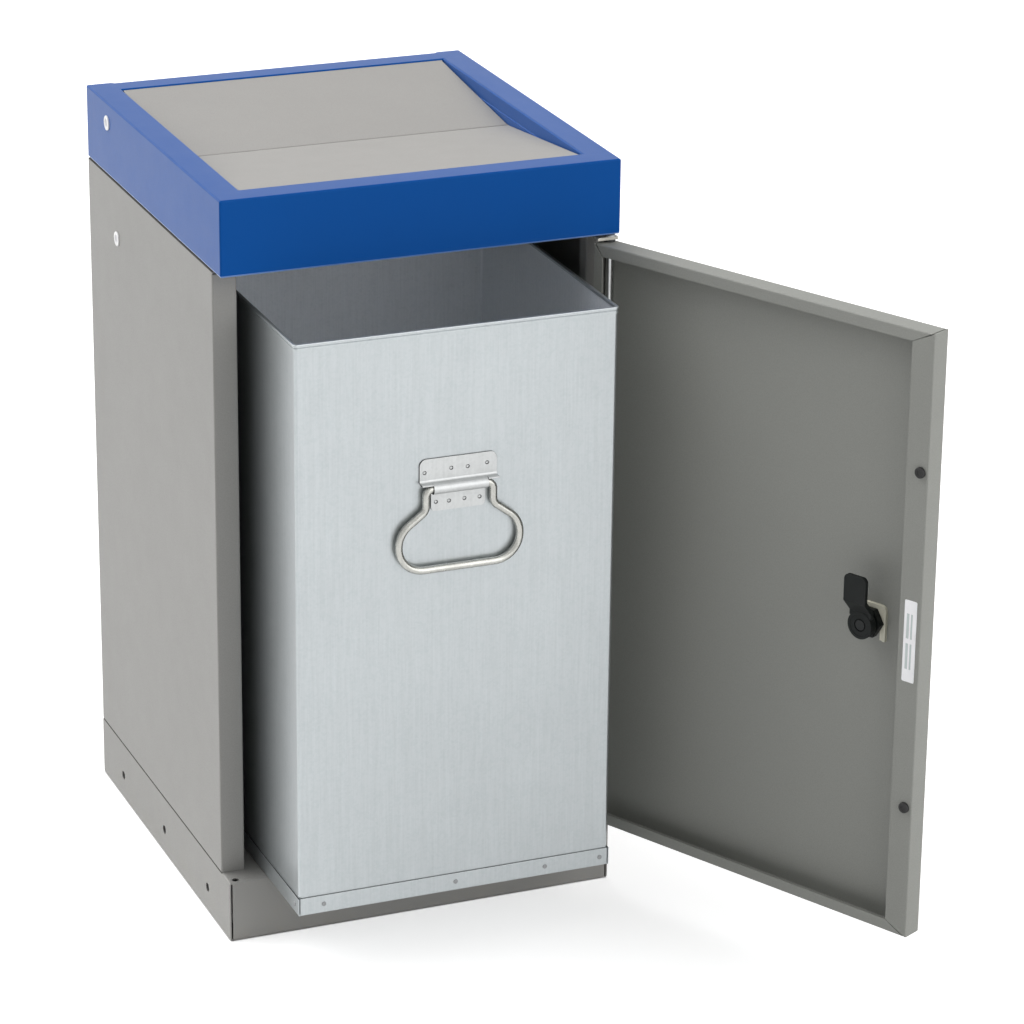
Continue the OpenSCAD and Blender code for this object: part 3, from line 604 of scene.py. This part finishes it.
def makeHood():
    half, depth = cabinet["half"], cabinet["depth"]
    low, top, ledge = cabinet["hoodLow"], cabinet["top"], hood["ledge"]
    piece = newBox("hoodShell", mm(-half, 0, low), mm(half, depth, top))
    pick("FACE", lambda c, f: f.normal.z > 0.9)
    inset(hood["rim"])
    extrude(0, 0, -hood["drop"])
    bpy.ops.mesh.delete(type="FACE")
    pick("FACE", lambda c, f: f.normal.z < -0.9)
    inset(hood["foot"])
    bpy.ops.mesh.delete(type="FACE")
    opening, returnLow = half - hood["rim"], top - hood["drop"]
    for side in (-1, 1):
        foldEdges(at(x=side * opening, z=returnLow), (-side * ledge, 0, -ledge / 2))
        foldEdges(lambda c: close(c.x, side * (opening - ledge)) and close(c.y, depth / 2)
                  and c.z < returnLow, (0, 0, -hood["strip"]))
    stepEnd = opening + hood["stepWidth"]
    cutAt("X", (-stepEnd, -opening, opening, stepEnd),
          lambda c: c.y > depth - hood["rim"] + margin)
    slide(lambda c: close(c.y, depth) and abs(c.x) < opening + margin, (0, -hood["backStep"], 0))
    stripLow = returnLow - ledge - hood["strip"]
    roundFolds(hood["fold"], test=lambda c: c.z > returnLow + margin or c.z < stripLow)
    thicken(piece, cabinet)
    smoothBy(piece)
    place(piece, "cabinet", "hood", "hood")
    # a painted highlight: paler, glossier paint along the lower fold, in front and at the sides
    finishFaces(piece, "hoodPaintedHighlight", lambda c, n: c.z < low + hood["highlightBand"]
                and -0.8 < n.z < -0.1 and c.y < depth - hood["highlightBack"])


# Flaps: a plate with a fold at the meeting line and tapered side flanges, tilted about the axis

flap = {"half": 148.6, "lip": 4.86, "reach": 155.2, "rise": 6, "fold": 1.0,
        "flange": 10.1, "flangeStart": -3.5, "taper": 25, "tip": 2.2, "relief": 3.5,
        "axisY": 29.6, "axisZ": 652.4, "tilt": 6.068}


def makeFlaps():
    half, rise, reach, flange = flap["half"], flap["rise"], flap["reach"], flap["flange"]
    start, end = flap["flangeStart"], reach - flap["tip"]
    piece = newSheet("flapFrontPlate", mm(-half, -flap["lip"], rise), mm(half, reach, rise), "+Z")
    cutAt("Y", (start, reach - flap["taper"], end))
    foldEdges(at(y=reach), (0, 0, -rise))
    for side in (-1, 1):
        foldEdges(lambda c: close(c.x, side * half) and close(c.z, rise) and start < c.y < end,
                  (0, 0, -flange))
        slide(at(x=side * half, z=rise - flange, y=end), (0, 0, flange - rise))
        slide(lambda c: close(c.x, side * half) and close(c.z, rise - flange) and c.y < 0,
              (0, flap["relief"], 0))
    roundFolds(flap["fold"])
    thicken(piece, cabinet)
    tilt = Matrix.Rotation(math.radians(-flap["tilt"]), 4, "X")
    piece.matrix_world = Matrix.Translation(mm(0, flap["axisY"], flap["axisZ"])) @ tilt
    applyPlace(piece)
    smoothBy(piece)
    middle = Matrix.Translation(mm(0, cabinet["depth"] / 2, 0))
    halfTurn = middle @ Matrix.Rotation(math.pi, 4, "Z") @ middle.inverted()
    rear = copyOf(piece, "flapRearPlate", halfTurn)
    place(piece, "front_flap", "flap", "flap_front")
    place(rear, "rear_flap", "flap", "flap_rear")


# Door pan: skin, four folded sides and inner flanges with mitred, open corners

def makeDoorPan():
    half, low, high, depth = door["half"], door["low"], door["high"], door["depth"]
    free, hingeSide, ends = door["free"], door["hingeSide"], door["ends"]
    gap, mitre, seam = door["cornerGap"], door["mitreGap"], door["cornerSeam"]
    piece = newBox("doorPan", mm(-half, 0, low), mm(half, depth, high))
    removeFaces(at(y=depth))
    cutAt("X", (gap - half, half - gap), lambda c: close(c.z, low) or close(c.z, high))
    removeFaces(lambda c: (close(c.z, low) or close(c.z, high)) and abs(c.x) > half - gap)
    roundFolds(door["fold"])
    for side, width in ((-1, free), (1, hingeSide)):
        foldEdges(at(x=side * half, y=depth), (-side * width, 0, 0))
        inner = side * (half - width)
        for z, inward in ((low, ends + mitre), (high, -ends - mitre)):
            slide(at(x=inner, y=depth, z=z), (0, 0, inward))
    for z, inward in ((low, ends), (high, -ends)):
        foldEdges(at(z=z, y=depth, x=0), (0, 0, inward))
        for x, along in ((gap - half, free - gap + seam), (half - gap, gap - seam - hingeSide)):
            slide(at(z=z + inward, y=depth, x=x), (along, 0, 0))
    roundFolds(door["flangeFold"], test=at(y=depth))
    thicken(piece, cabinet)
    swingOpen(piece)
    smoothBy(piece)
    place(piece, "door", "door", "door_pan")


# Inner bin: folded shell with a hem, and a base whose flange wraps it

innerBin = {"half": 141, "front": -80, "back": 221, "low": 55.3, "top": 560,
            "sheet": 0.8, "cutEdge": 0.14, "corner": 2.6,
            "step": 1,  # what the shell stands back from the base's flange by
            "hem": 6, "hemProud": 0.6, "bead": 2.7, "beadInward": 1.1, "beadRound": 0.9,
            "groove": 0.7, "base": 16, "baseFold": 1.1, "seam": 1.7}


def makeBinShell():
    half, front, back, top = (innerBin[key] for key in ("half", "front", "back", "top"))
    step, low = innerBin["step"], innerBin["low"] + innerBin["sheet"]
    piece = newBox("binShell", mm(step - half, front + step, low),
                   mm(half - step, back - step, top))
    removeFaces(lambda c: close(c.z, top) or close(c.z, low))
    roundFolds(innerBin["corner"], 4)
    giveThickness(piece, innerBin["sheet"])
    hemLow, beadLow = top - innerBin["hem"], top - innerBin["bead"]
    grooveLow = beadLow - innerBin["groove"]
    cutAt("Z", (hemLow, grooveLow, beadLow))
    middle = (front + back) / 2

    def faces(c, n, outward):
        away = c.x * n.x + (c.y - middle) * n.y
        return abs(n.z) < 0.5 and (away > 0 if outward else away < 0)

    def swell(start, end, outward, amount):
        pick("FACE", lambda c, f: start < c.z < end and faces(c, f.normal, outward))
        bpy.ops.mesh.extrude_region_shrink_fatten(
            TRANSFORM_OT_shrink_fatten={"value": 0.001 * amount})

    swell(hemLow, grooveLow, True, innerBin["hemProud"])
    swell(beadLow, top, True, step)
    swell(beadLow, top, False, innerBin["beadInward"])
    pick("EDGE", lambda c, e: c.z > beadLow - 0.1 and len(e.link_faces) == 2
         and e.calc_face_angle() > 1 and all(close(v.co.z * 1000, c.z, 0.01) for v in e.verts)
         and max(f.calc_center_median().z for f in e.link_faces) * 1000 > beadLow)
    bevel(innerBin["beadRound"], 4, clamp=True)
    softenEdges(piece, innerBin["cutEdge"])
    smoothBy(piece)
    place(piece, "inner_bin", "galvanised", "bin_shell")
    # painted light on the bin's inner walls
    finishFaces(piece, "galvanisedInsidePaintedLight", lambda c, n: c.z < beadLow and faces(c, n, False))


def makeBinBase():
    half, front, back, low = (innerBin[key] for key in ("half", "front", "back", "low"))
    base, end = innerBin["base"], half - innerBin["seam"]
    piece = newSheet("binBase", mm(-half, front, low), mm(half, back, low), "-Z")
    cutAt("X", (-end, end))
    for y in (front, back):
        foldEdges(lambda c: close(c.y, y) and abs(c.x) < end - margin, (0, 0, base))
    for side in (-1, 1):
        foldEdges(at(x=side * half), (0, 0, base))
    roundFolds(innerBin["baseFold"])
    thicken(piece, innerBin)
    smoothBy(piece)
    place(piece, "inner_bin", "galvanised", "bin_base")
    # painted light on the bin's floor
    finishFaces(piece, "galvanisedInsidePaintedLight", lambda c, n: n.z > 0.9 and c.z < low + base / 2)
    # the dark steel of the flange's top cut edge, partly painted shade
    finishFaces(piece, "cutEdge", lambda c, n: n.z > 0.5 and c.z > low + base / 2)


# The bail: a ring of points drawn out and spun along the wire, then mirrored

bail = {"radius": 3.25, "y": -83.7, "z": 424, "sides": 24, "stepAngle": 6, "leastSteps": 6,
        "join": 0.2,  # how near the two halves have to be
        # length of each straight run, then the radius and the angle of the bend after it
        "runs": ((23.5, 6, 90), (8, 9, -53.1301), (14.2, 22, 53.1301), (1, 22, 90), (31.26, 0, 0))}


def makeBail():
    deselectAll()
    start = Vector((0, bail["y"], bail["z"]))
    bpy.ops.mesh.primitive_circle_add(radius=bail["radius"] * 0.001, vertices=bail["sides"],
                                      fill_type="NOTHING", location=mm(*start),
                                      rotation=(0, math.radians(90), 0))
    piece = settle("bailWire")
    edit()
    bpy.ops.mesh.select_mode(type="VERT")
    bpy.ops.mesh.select_all(action="SELECT")
    at, heading = start.copy(), 0.0
    for length, radius, turn in bail["runs"]:
        ahead = Vector((math.cos(heading), 0, -math.sin(heading)))
        extrude(*(ahead * length))
        at += ahead * length
        if turn:
            side = math.copysign(radius, turn)
            centre = at + Vector((-math.sin(heading), 0, -math.cos(heading))) * side
            steps = max(bail["leastSteps"], round(abs(turn) / bail["stepAngle"]))
            bpy.ops.mesh.spin(steps=steps, angle=math.radians(turn), center=centre * 0.001,
                              axis=(0, -1, 0))
            heading += math.radians(turn)
            at = centre - Vector((-math.sin(heading), 0, -math.cos(heading))) * side
    modify(piece, "MIRROR", merge_threshold=bail["join"] * 0.001)
    mergeDoubles()
    bpy.ops.mesh.normals_make_consistent(inside=False)
    smoothBy(piece, 60)
    place(piece, "bail", "handle", "handle_bail")


# The handle plate: upper flange, a lip over the necks, a roll over the wire, lower flange

handlePlate = {"sheet": 1.2, "face": -80.2, "upper": 34, "up": 25, "corner": 6,
               "roll": 24, "outerRadius": 4.7, "rollSteps": 10, "down": 21, "lowerCorner": 4,
               "lip": 6.75, "innerFold": 2.4, "fold": 0.7, "cutEdge": 0.2,
               "shadeBand": 0.4,  # how much of the top edge shows dark
               "dentRadius": 2.1, "dentDepth": 0.95, "dentSegments": 20, "dentRings": 12,
               "dents": ((-29.5, 13.4), (-6.2, 15), (8.2, 14.5), (25.2, 15.7),
                         (-19.5, -13), (-8, -13.4), (5.5, -13), (18.8, -13.4))}


def makeHandlePlate():
    y, z, face = bail["y"], bail["z"], handlePlate["face"]
    upper, roll, radius = handlePlate["upper"], handlePlate["roll"], handlePlate["outerRadius"]
    top, bottom = z + handlePlate["up"], z - handlePlate["down"]
    shelf, low = z + radius, z - radius
    piece = newSheet("handlePlateFolded", mm(-upper, face, shelf), mm(upper, face, top), "-Y")
    cutAt("X", (-roll, roll))
    pick("VERT", lambda c, v: close(c.z, top) and close(abs(c.x), upper))
    bevel(handlePlate["corner"], 6, "VERTICES")
    foldEdges(lambda c: close(c.z, shelf) and abs(c.x) < roll, (0, y - face, 0))
    pick("EDGE", lambda c, e: e.is_boundary and close(c.z, shelf) and close(c.y, y))
    bpy.ops.mesh.spin(steps=handlePlate["rollSteps"], angle=math.radians(180), center=mm(0, y, z),
                      axis=(-1, 0, 0))
    foldEdges(at(z=low, y=y), (0, face - y, 0))
    foldEdges(at(z=low, y=face), (0, 0, bottom - low))
    pick("VERT", lambda c, v: close(c.z, bottom) and close(abs(c.x), roll))
    bevel(handlePlate["lowerCorner"], 5, "VERTICES")
    for side in (-1, 1):
        foldEdges(lambda c: close(c.z, shelf) and close(c.y, face) and side * c.x > roll,
                  (0, -handlePlate["lip"], 0))
    pick("EDGE", lambda c, e: len(e.link_faces) == 2 and close(c.z, shelf) and close(c.y, face))
    bevel(handlePlate["innerFold"], 5, clamp=True)
    roundFolds(handlePlate["fold"], sharper=50)
    thicken(piece, handlePlate)
    dent = handlePlate["dentRadius"]
    for x, up in handlePlate["dents"]:
        deselectAll()
        bpy.ops.mesh.primitive_uv_sphere_add(
            segments=handlePlate["dentSegments"], ring_count=handlePlate["dentRings"],
            radius=dent * 0.001, location=mm(x, face - dent + handlePlate["dentDepth"], z + up))
        drill(piece, [bpy.context.object])
    smoothBy(piece)
    place(piece, "inner_bin", "plateSheet", "handle_plate")

    def shadedEdgeOrDent(c, n):
        # painted shade: the walls of the dents, the side edges and the top edge show the dark steel
        # of a cut edge
        near = min(math.hypot(c.x - x, c.z - z - up) for x, up in handlePlate["dents"])
        if c.y > face - 0.02 and near < dent + 0.1:
            return n.y > -0.85
        return abs(n.x) > 0.3 or (n.z > 0.4 and c.z > top - handlePlate["shadeBand"])
    finishFaces(piece, "cutEdge", shadedEdgeOrDent)


# Small hardware

rivets = {"radius": 2.0, "height": 0.6, "round": 0.45, "sides": 20,
          "z": 63.3, "shares": (-0.42, 0, 0.29, 0.47), "corner": 9}  # shares of the base's width


def makeRivets():
    width, front, back, z = 2 * innerBin["half"], innerBin["front"], innerBin["back"], rivets["z"]
    spots = [(share * width, y, 0, out) for share in rivets["shares"]
             for y, out in ((front, -1), (back, 1))]
    spots += [(side * innerBin["half"], y, side, 0) for side in (-1, 1)
              for y in (front + rivets["corner"], (front + back) / 2, back - rivets["corner"])]
    heads = []
    for x, y, outX, outY in spots:
        out = Vector((outX, outY, 0))
        heads.append(newRod("rivetHead", mm(x, y, z), out, rivets["radius"], rivets["height"],
                            rivets["sides"]))
        pick("EDGE", lambda c, e: e.calc_face_angle() > 1
             and any(f.normal.dot(out) > 0.9 for f in e.link_faces))
        bevel(rivets["round"], 4)
    piece = joinAll(heads, "binRivetHeads")
    smoothBy(piece)
    place(piece, "inner_bin", "rivet", "bin_rivets")


plug = {"sides": 40, "ring": 3.0, "dish": 0.5, "round": 0.4, "wellEdge": 3.2}


def makePlugs(name, nodeName):
    low, high = (v * 1000 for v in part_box(nodeName))
    half, radius = cabinet["half"], (high.z - low.z) / 2
    y, z = (low.y + high.y) / 2, (low.z + high.z) / 2
    made = []
    for side in (-1, 1):
        made.append(newRod("plug", mm(side * half, y, z), (side, 0, 0), radius, high.x - half,
                           plug["sides"]))
        pick("FACE", lambda c, f: f.normal.x * side > 0.9)
        inset(plug["ring"])
        extrude(-side * plug["dish"], 0, 0)
        pick("EDGE", lambda c, e: close(abs(c.x), high.x, 0.01) and e.calc_face_angle() > 1)
        bevel(plug["round"], 3)
    piece = joinAll(made, name)
    smoothBy(piece)
    place(piece, "cabinet", "plug", nodeName)
    finishFaces(piece, "plugWell", lambda c, n: abs(n.x) > 0.9
                and math.hypot(c.y - y, c.z - z) < radius - plug["wellEdge"])


latch = {"x": -114, "z": 324.5,
         "bossRadius": 12, "bossLow": 12.3, "bossTop": 19.4, "bossSides": 56, "bossRound": 0.45,
         "ring": 2.4, "ringDepth": 0.5, "wellRadius": 5.4, "wellDepth": 1.9,
         "tongueTop": 28.4, "tongueHalf": 11, "tongueStart": 7, "tongueLength": 46,
         "tongueSunk": 0.4,  # the tongue's root, below the top of the boss
         "tongueRound": 0.7, "thickness": 4, "crank": (11.5, 22.5), "corner": 4.5}


def makeCam():
    x, z, top = latch["x"], latch["z"], latch["bossTop"]
    boss = newRod("latchCamBoss", mm(x, latch["bossLow"], z), (0, 1, 0), latch["bossRadius"],
                  top - latch["bossLow"], latch["bossSides"])
    pick("FACE", lambda c, f: f.normal.y > 0.9)
    inset(latch["ring"])
    extrude(0, -latch["ringDepth"], 0)
    inset(latch["bossRadius"] - latch["ring"] - latch["wellRadius"])
    extrude(0, -latch["wellDepth"], 0)
    start, end = latch["crank"]
    half, length, high = latch["tongueHalf"], latch["tongueLength"], latch["tongueTop"]
    tongue = newSheet("latchCamTongue", mm(x - half, high, z + latch["tongueStart"]),
                      mm(x + half, high, z + length), "+Y")
    cutAt("Z", (z + start, z + end))
    slide(lambda c: c.z < z + start + margin, (0, top - latch["tongueSunk"] - high, 0))
    pick("VERT", lambda c, v: close(c.z, z + length))
    bevel(latch["corner"], 7, "VERTICES")
    giveThickness(tongue, latch["thickness"])
    softenEdges(tongue, latch["tongueRound"], 20, 3)
    softenEdges(boss, latch["bossRound"], 30, 3)
    piece = joinAll([tongue, boss], "latchCamTongue")
    swingOpen(piece)
    smoothBy(piece, 24)
    place(piece, "latch", "black", "latch_cam")


clip = {"half": 15, "halfHeight": 15.5, "low": 1.2, "high": 4.2, "corner": 5, "cutEdge": 0.35,
        "bore": 9.1, "step": 12.2, "stepHeight": 3.1, "sides": 48,
        "cutBack": 15, "cutDown": 30}  # reach of the cutters


def makeClip():
    x, z, half, tall = latch["x"], latch["z"], clip["half"], clip["halfHeight"]
    piece = newBox("latchHorseshoe", mm(x - half, clip["low"], z - tall),
                   mm(x + half, clip["high"], z + tall))
    pick("EDGE", lambda c, e: close(c.z, z + tall) and close(abs(c.x - x), half))
    bevel(clip["corner"], 6)
    bore, step, ledge, sides = clip["bore"], clip["step"], clip["stepHeight"], clip["sides"]
    back, below = clip["cutBack"], z - clip["cutDown"]
    drill(piece, [newRod("boreCutter", mm(x, -overshoot, z), (0, 1, 0), bore, back + overshoot,
                         sides),
                  newBox("slotCutter", mm(x - bore, -overshoot, below), mm(x + bore, back, z)),
                  newRod("stepCutter", mm(x, ledge, z), (0, 1, 0), step, 2 * overshoot, sides),
                  newBox("ledgeCutter", mm(x - step, ledge, below), mm(x + step, back, z))])
    softenEdges(piece, clip["cutEdge"], 30, 3)
    swingOpen(piece)
    smoothBy(piece)
    place(piece, "door", "ivory", "latch_clip")


label = {"width": 12, "length": 71, "thickness": 0.3, "corner": 1.1, "fromEdge": 4,
         "fieldDepth": 0.05,
         "rows": ((11, 33.4), (37.6, 59.3)), "columns": ((2.4, 5.0), (6.5, 8.3))}


def makeLabel():
    left, face = label["fromEdge"] - door["half"], door["depth"]
    right, thickness, fieldDepth = left + label["width"], label["thickness"], label["fieldDepth"]
    low = (door["low"] + door["high"] - label["length"]) / 2
    piece = newBox("labelPlate", mm(left, face, low),
                   mm(right, face + thickness, low + label["length"]))
    pick("EDGE", lambda c, e: close(c.y, face + thickness / 2))
    bevel(label["corner"], 4)

    def onTop(c):
        return close(c.y, face + thickness)

    cutAt("Z", [low + h for row in label["rows"] for h in row], onTop)
    cutAt("X", [right - w for column in label["columns"] for w in column], onTop)
    pick("FACE", lambda c, f: onTop(c) and any(a < c.z - low < b for a, b in label["rows"])
         and any(a < right - c.x < b for a, b in label["columns"]))
    extrude(0, -fieldDepth, 0)
    place(piece, "door", "label", "blank_label")
    finishFaces(piece, "labelField",
                lambda c, n: close(c.y, face + thickness - fieldDepth, 0.01) and n.y > 0.9)
    swingOpen(piece)


buffers = {"radius": 4.6, "height": 2.6, "sides": 40, "ring": 2.4, "dish": 0.7, "round": 0.7,
           "fromEdge": 7, "fromEnd": 117}


def makeBuffers():
    made = []
    for z in (door["low"] + buffers["fromEnd"], door["high"] - buffers["fromEnd"]):
        start = mm(buffers["fromEdge"] - door["half"], door["depth"], z)
        made.append(newRod("buffer", start, (0, 1, 0), buffers["radius"], buffers["height"],
                           buffers["sides"]))
        pick("FACE", lambda c, f: f.normal.y > 0.9)
        inset(buffers["ring"])
        extrude(0, -buffers["dish"], 0)
        pick("EDGE", lambda c, e: close(c.y, door["depth"] + buffers["height"], 0.01)
             and e.calc_face_angle() > 1)
        bevel(buffers["round"], 4)
    piece = joinAll(made, "doorBufferPair")
    swingOpen(piece)
    smoothBy(piece)
    place(piece, "door", "rubber", "door_buffers")


# Pieces whose CAD shape is right: a copy of the mesh, with its cut edges rounded.
# Each has its piece name, rounding, body, slot and finish.

hardware = {
    "back_panel": ("backPanelSheet", 0.2, "cabinet", "cabinet_paint", "cabinet"),
    "top_rail_front": ("railFront", 0.2, "cabinet", "cabinet_paint", "cabinet"),
    "top_rail_rear": ("railRear", 0.2, "cabinet", "cabinet_paint", "cabinet"),
    "hinge_plate": ("hingePlateBar", 0.85, "cabinet", "hinge_plate_zinc", "hingePlate"),
    "hinge_rod": ("hingePin", 0.4, "cabinet", "zinc_plate", "zinc"),
    "hinge_bush_lower": ("hingeBush", 0.3, "cabinet", "nylon", "nylon"),
    "hinge_washer_upper": ("hingeWasher", 0.15, "cabinet", "nylon", "nylon"),
    "back_rivets": ("backRivetHeads", 0.5, "cabinet", "zinc_plate", "zinc"),
    "hood_screws": ("hoodScrewHeads", 0.5, "cabinet", "zinc_plate", "zinc"),
    "base_screws": ("baseScrewHeads", 0.5, "cabinet", "zinc_plate", "zinc"),
    "flap_bushes": ("flapBushRings", 0.2, "cabinet", "nylon", "nylon"),
    "latch_housing": ("latchBarrel", 0.5, "door", "black_plastic", "black"),
    "latch_nut": ("latchHexNut", 0.5, "door", "black_plastic", "black"),
    "latch_knob": ("latchTurnKnob", 0.9, "latch", "black_plastic", "black"),
    "latch_cam_screw": ("latchCamScrewHead", 0.3, "latch", "black_steel", "blackSteel"),
}


def makeHardware():
    for nodeName, (name, rounding, body, slotName, finish) in hardware.items():
        piece = bpy.data.objects.new(name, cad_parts[nodeName].data.copy())
        bpy.context.scene.collection.objects.link(piece)
        activate(piece)
        mergeDoubles()
        bpy.ops.mesh.dissolve_limited(angle_limit=math.radians(cleaning["flat"]))
        softenEdges(piece, rounding, 30)
        smoothBy(piece)
        place(piece, body, finish, nodeName)
        if nodeName == "hinge_plate":
            # painted shade: the plate's underside is given the dark steel of a cut edge
            finishFaces(piece, "cutEdge", lambda c, n: n.z < -0.3)  # its underside


makePlinth()
makeSidePanel("sidePanelLeft", -1, "side_panel_left")
makeSidePanel("sidePanelRight", 1, "side_panel_right")
makeHood()
makeFlaps()
makeDoorPan()
makeBinShell()
makeBinBase()
makeBail()
makeHandlePlate()
makeRivets()
makePlugs("hoodPlugCaps", "hood_plugs")
makePlugs("panelPlugCaps", "panel_plugs")
makeCam()
makeClip()
makeLabel()
makeBuffers()
makeHardware()


# The CAD nodes that stay get their finish in their own slots

carriedOver = {"hood_washers": "rubber", "flap_front_torsion_rod": "zinc",
               "flap_rear_torsion_rod": "zinc"}
for name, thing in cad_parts.items():
    if not thing.hide_render:
        thing.data.materials.clear()
        thing.data.materials.append(finishes[carriedOver[name]])
        print("kept", name)


# Floor, light and camera: places and the floor's size in metres, angles in degrees

studio = {"floorSize": 9, "floorLevel": -0.0002, "floorRoughness": 0.9, "floorSpecular": 0.1,
          "floorGrain": (60.0, 3.0), "floorTones": ((0.3, 0.79), (0.7, 0.81)), "floorGlow": 0.55,
          "world": 0.22,
          # name, strength, where it shines from and how wide it is
          "lamps": (("keyLamp", 2.9, (-0.5, 0.6, 0.65), 70),
                    ("fillLamp", 1.8, (0.5, -0.8, 0.35), 70),
                    ("topLamp", 0.6, (-0.1, 0.1, 1.0), 70))}


def seenDirectly(material):
    path = node(material, "LightPath")
    return calc(material, "MAXIMUM", path.outputs["Is Camera Ray"], path.outputs["Is Glossy Ray"])


def makeFloor():
    deselectAll()
    bpy.ops.mesh.primitive_plane_add(size=studio["floorSize"],
                                     location=(0, 0, studio["floorLevel"]))
    floor = settle("studioFloor")
    material = bpy.data.materials.new("studioFloorPaint")
    material.use_nodes = True
    shader = material.node_tree.nodes["Principled BSDF"]
    shader.inputs["Roughness"].default_value = studio["floorRoughness"]
    shader.inputs["Specular IOR Level"].default_value = studio["floorSpecular"]
    shader.inputs["Emission Color"].default_value = (1, 1, 1, 1)
    coords = objectCoords(material)
    grain = noise(material, coords, *studio["floorGrain"])
    link(material, greys(material, grain, studio["floorTones"]), shader.inputs["Base Color"])
    # the camera and reflections see the floor brighter, but not where the cabinet stands on it
    split = node(material, "SeparateXYZ")
    link(material, coords, split.inputs[0])
    halfDepth = cabinet["depth"] / 2
    beyond = []
    for axis, middle, reach in (("X", 0, cabinet["half"]), ("Y", halfDepth, halfDepth)):
        away = calc(material, "SUBTRACT", split.outputs[axis], middle * 0.001)
        size = calc(material, "ABSOLUTE", away)
        beyond.append(calc(material, "GREATER_THAN", size, reach * 0.001))
    level = calc(material, "MULTIPLY", calc(material, "MAXIMUM", *beyond), studio["floorGlow"])
    glow = calc(material, "MULTIPLY", seenDirectly(material), level)
    link(material, glow, shader.inputs["Emission Strength"])
    floor.data.materials.append(material)


def makeLight():
    # the world is white to the camera and in reflections, and dimmer as light
    world = bpy.data.worlds.new("studioWorld")
    bpy.context.scene.world = world
    world.use_nodes = True
    background = world.node_tree.nodes["Background"]
    background.inputs["Color"].default_value = (1, 1, 1, 1)
    strength = spread(world, seenDirectly(world), studio["world"], 1.0, 0.0, 1.0)
    link(world, strength, background.inputs["Strength"])
    for name, energy, source, width in studio["lamps"]:
        data = bpy.data.lights.new(name, "SUN")
        data.energy = energy
        data.angle = math.radians(width)
        lamp = bpy.data.objects.new(name, data)
        lamp.rotation_euler = Vector(source).to_track_quat("Z", "Y").to_euler()
        bpy.context.scene.collection.objects.link(lamp)


photoCamera = {"place": (-1.170, -3.055, 1.643), "azimuth": -22.26, "elevation": 21.25,
               "roll": 0.65, "lens": 147.3, "sensor": 36, "clip": (0.05, 30)}


def makeCamera():
    data = bpy.data.cameras.new("photoCamera")
    camera = bpy.data.objects.new("photoCamera", data)
    bpy.context.scene.collection.objects.link(camera)
    azimuth, elevation, roll = (math.radians(photoCamera[key])
                                for key in ("azimuth", "elevation", "roll"))
    back = Vector((math.sin(azimuth) * math.cos(elevation),
                   -math.cos(azimuth) * math.cos(elevation), math.sin(elevation)))
    right = Vector((-back.y, back.x, 0)).normalized()
    up = back.cross(right)
    rightTurned = right * math.cos(roll) + up * math.sin(roll)
    upTurned = up * math.cos(roll) - right * math.sin(roll)
    turn = Matrix((rightTurned, upTurned, back)).transposed().to_4x4()
    camera.matrix_world = Matrix.Translation(photoCamera["place"]) @ turn
    data.lens = photoCamera["lens"]
    data.sensor_width = photoCamera["sensor"]
    data.clip_start, data.clip_end = photoCamera["clip"]
    bpy.context.scene.camera = camera
    bpy.context.scene.view_settings.view_transform = "Standard"


makeFloor()
makeLight()
makeCamera()
print("studio and camera made")
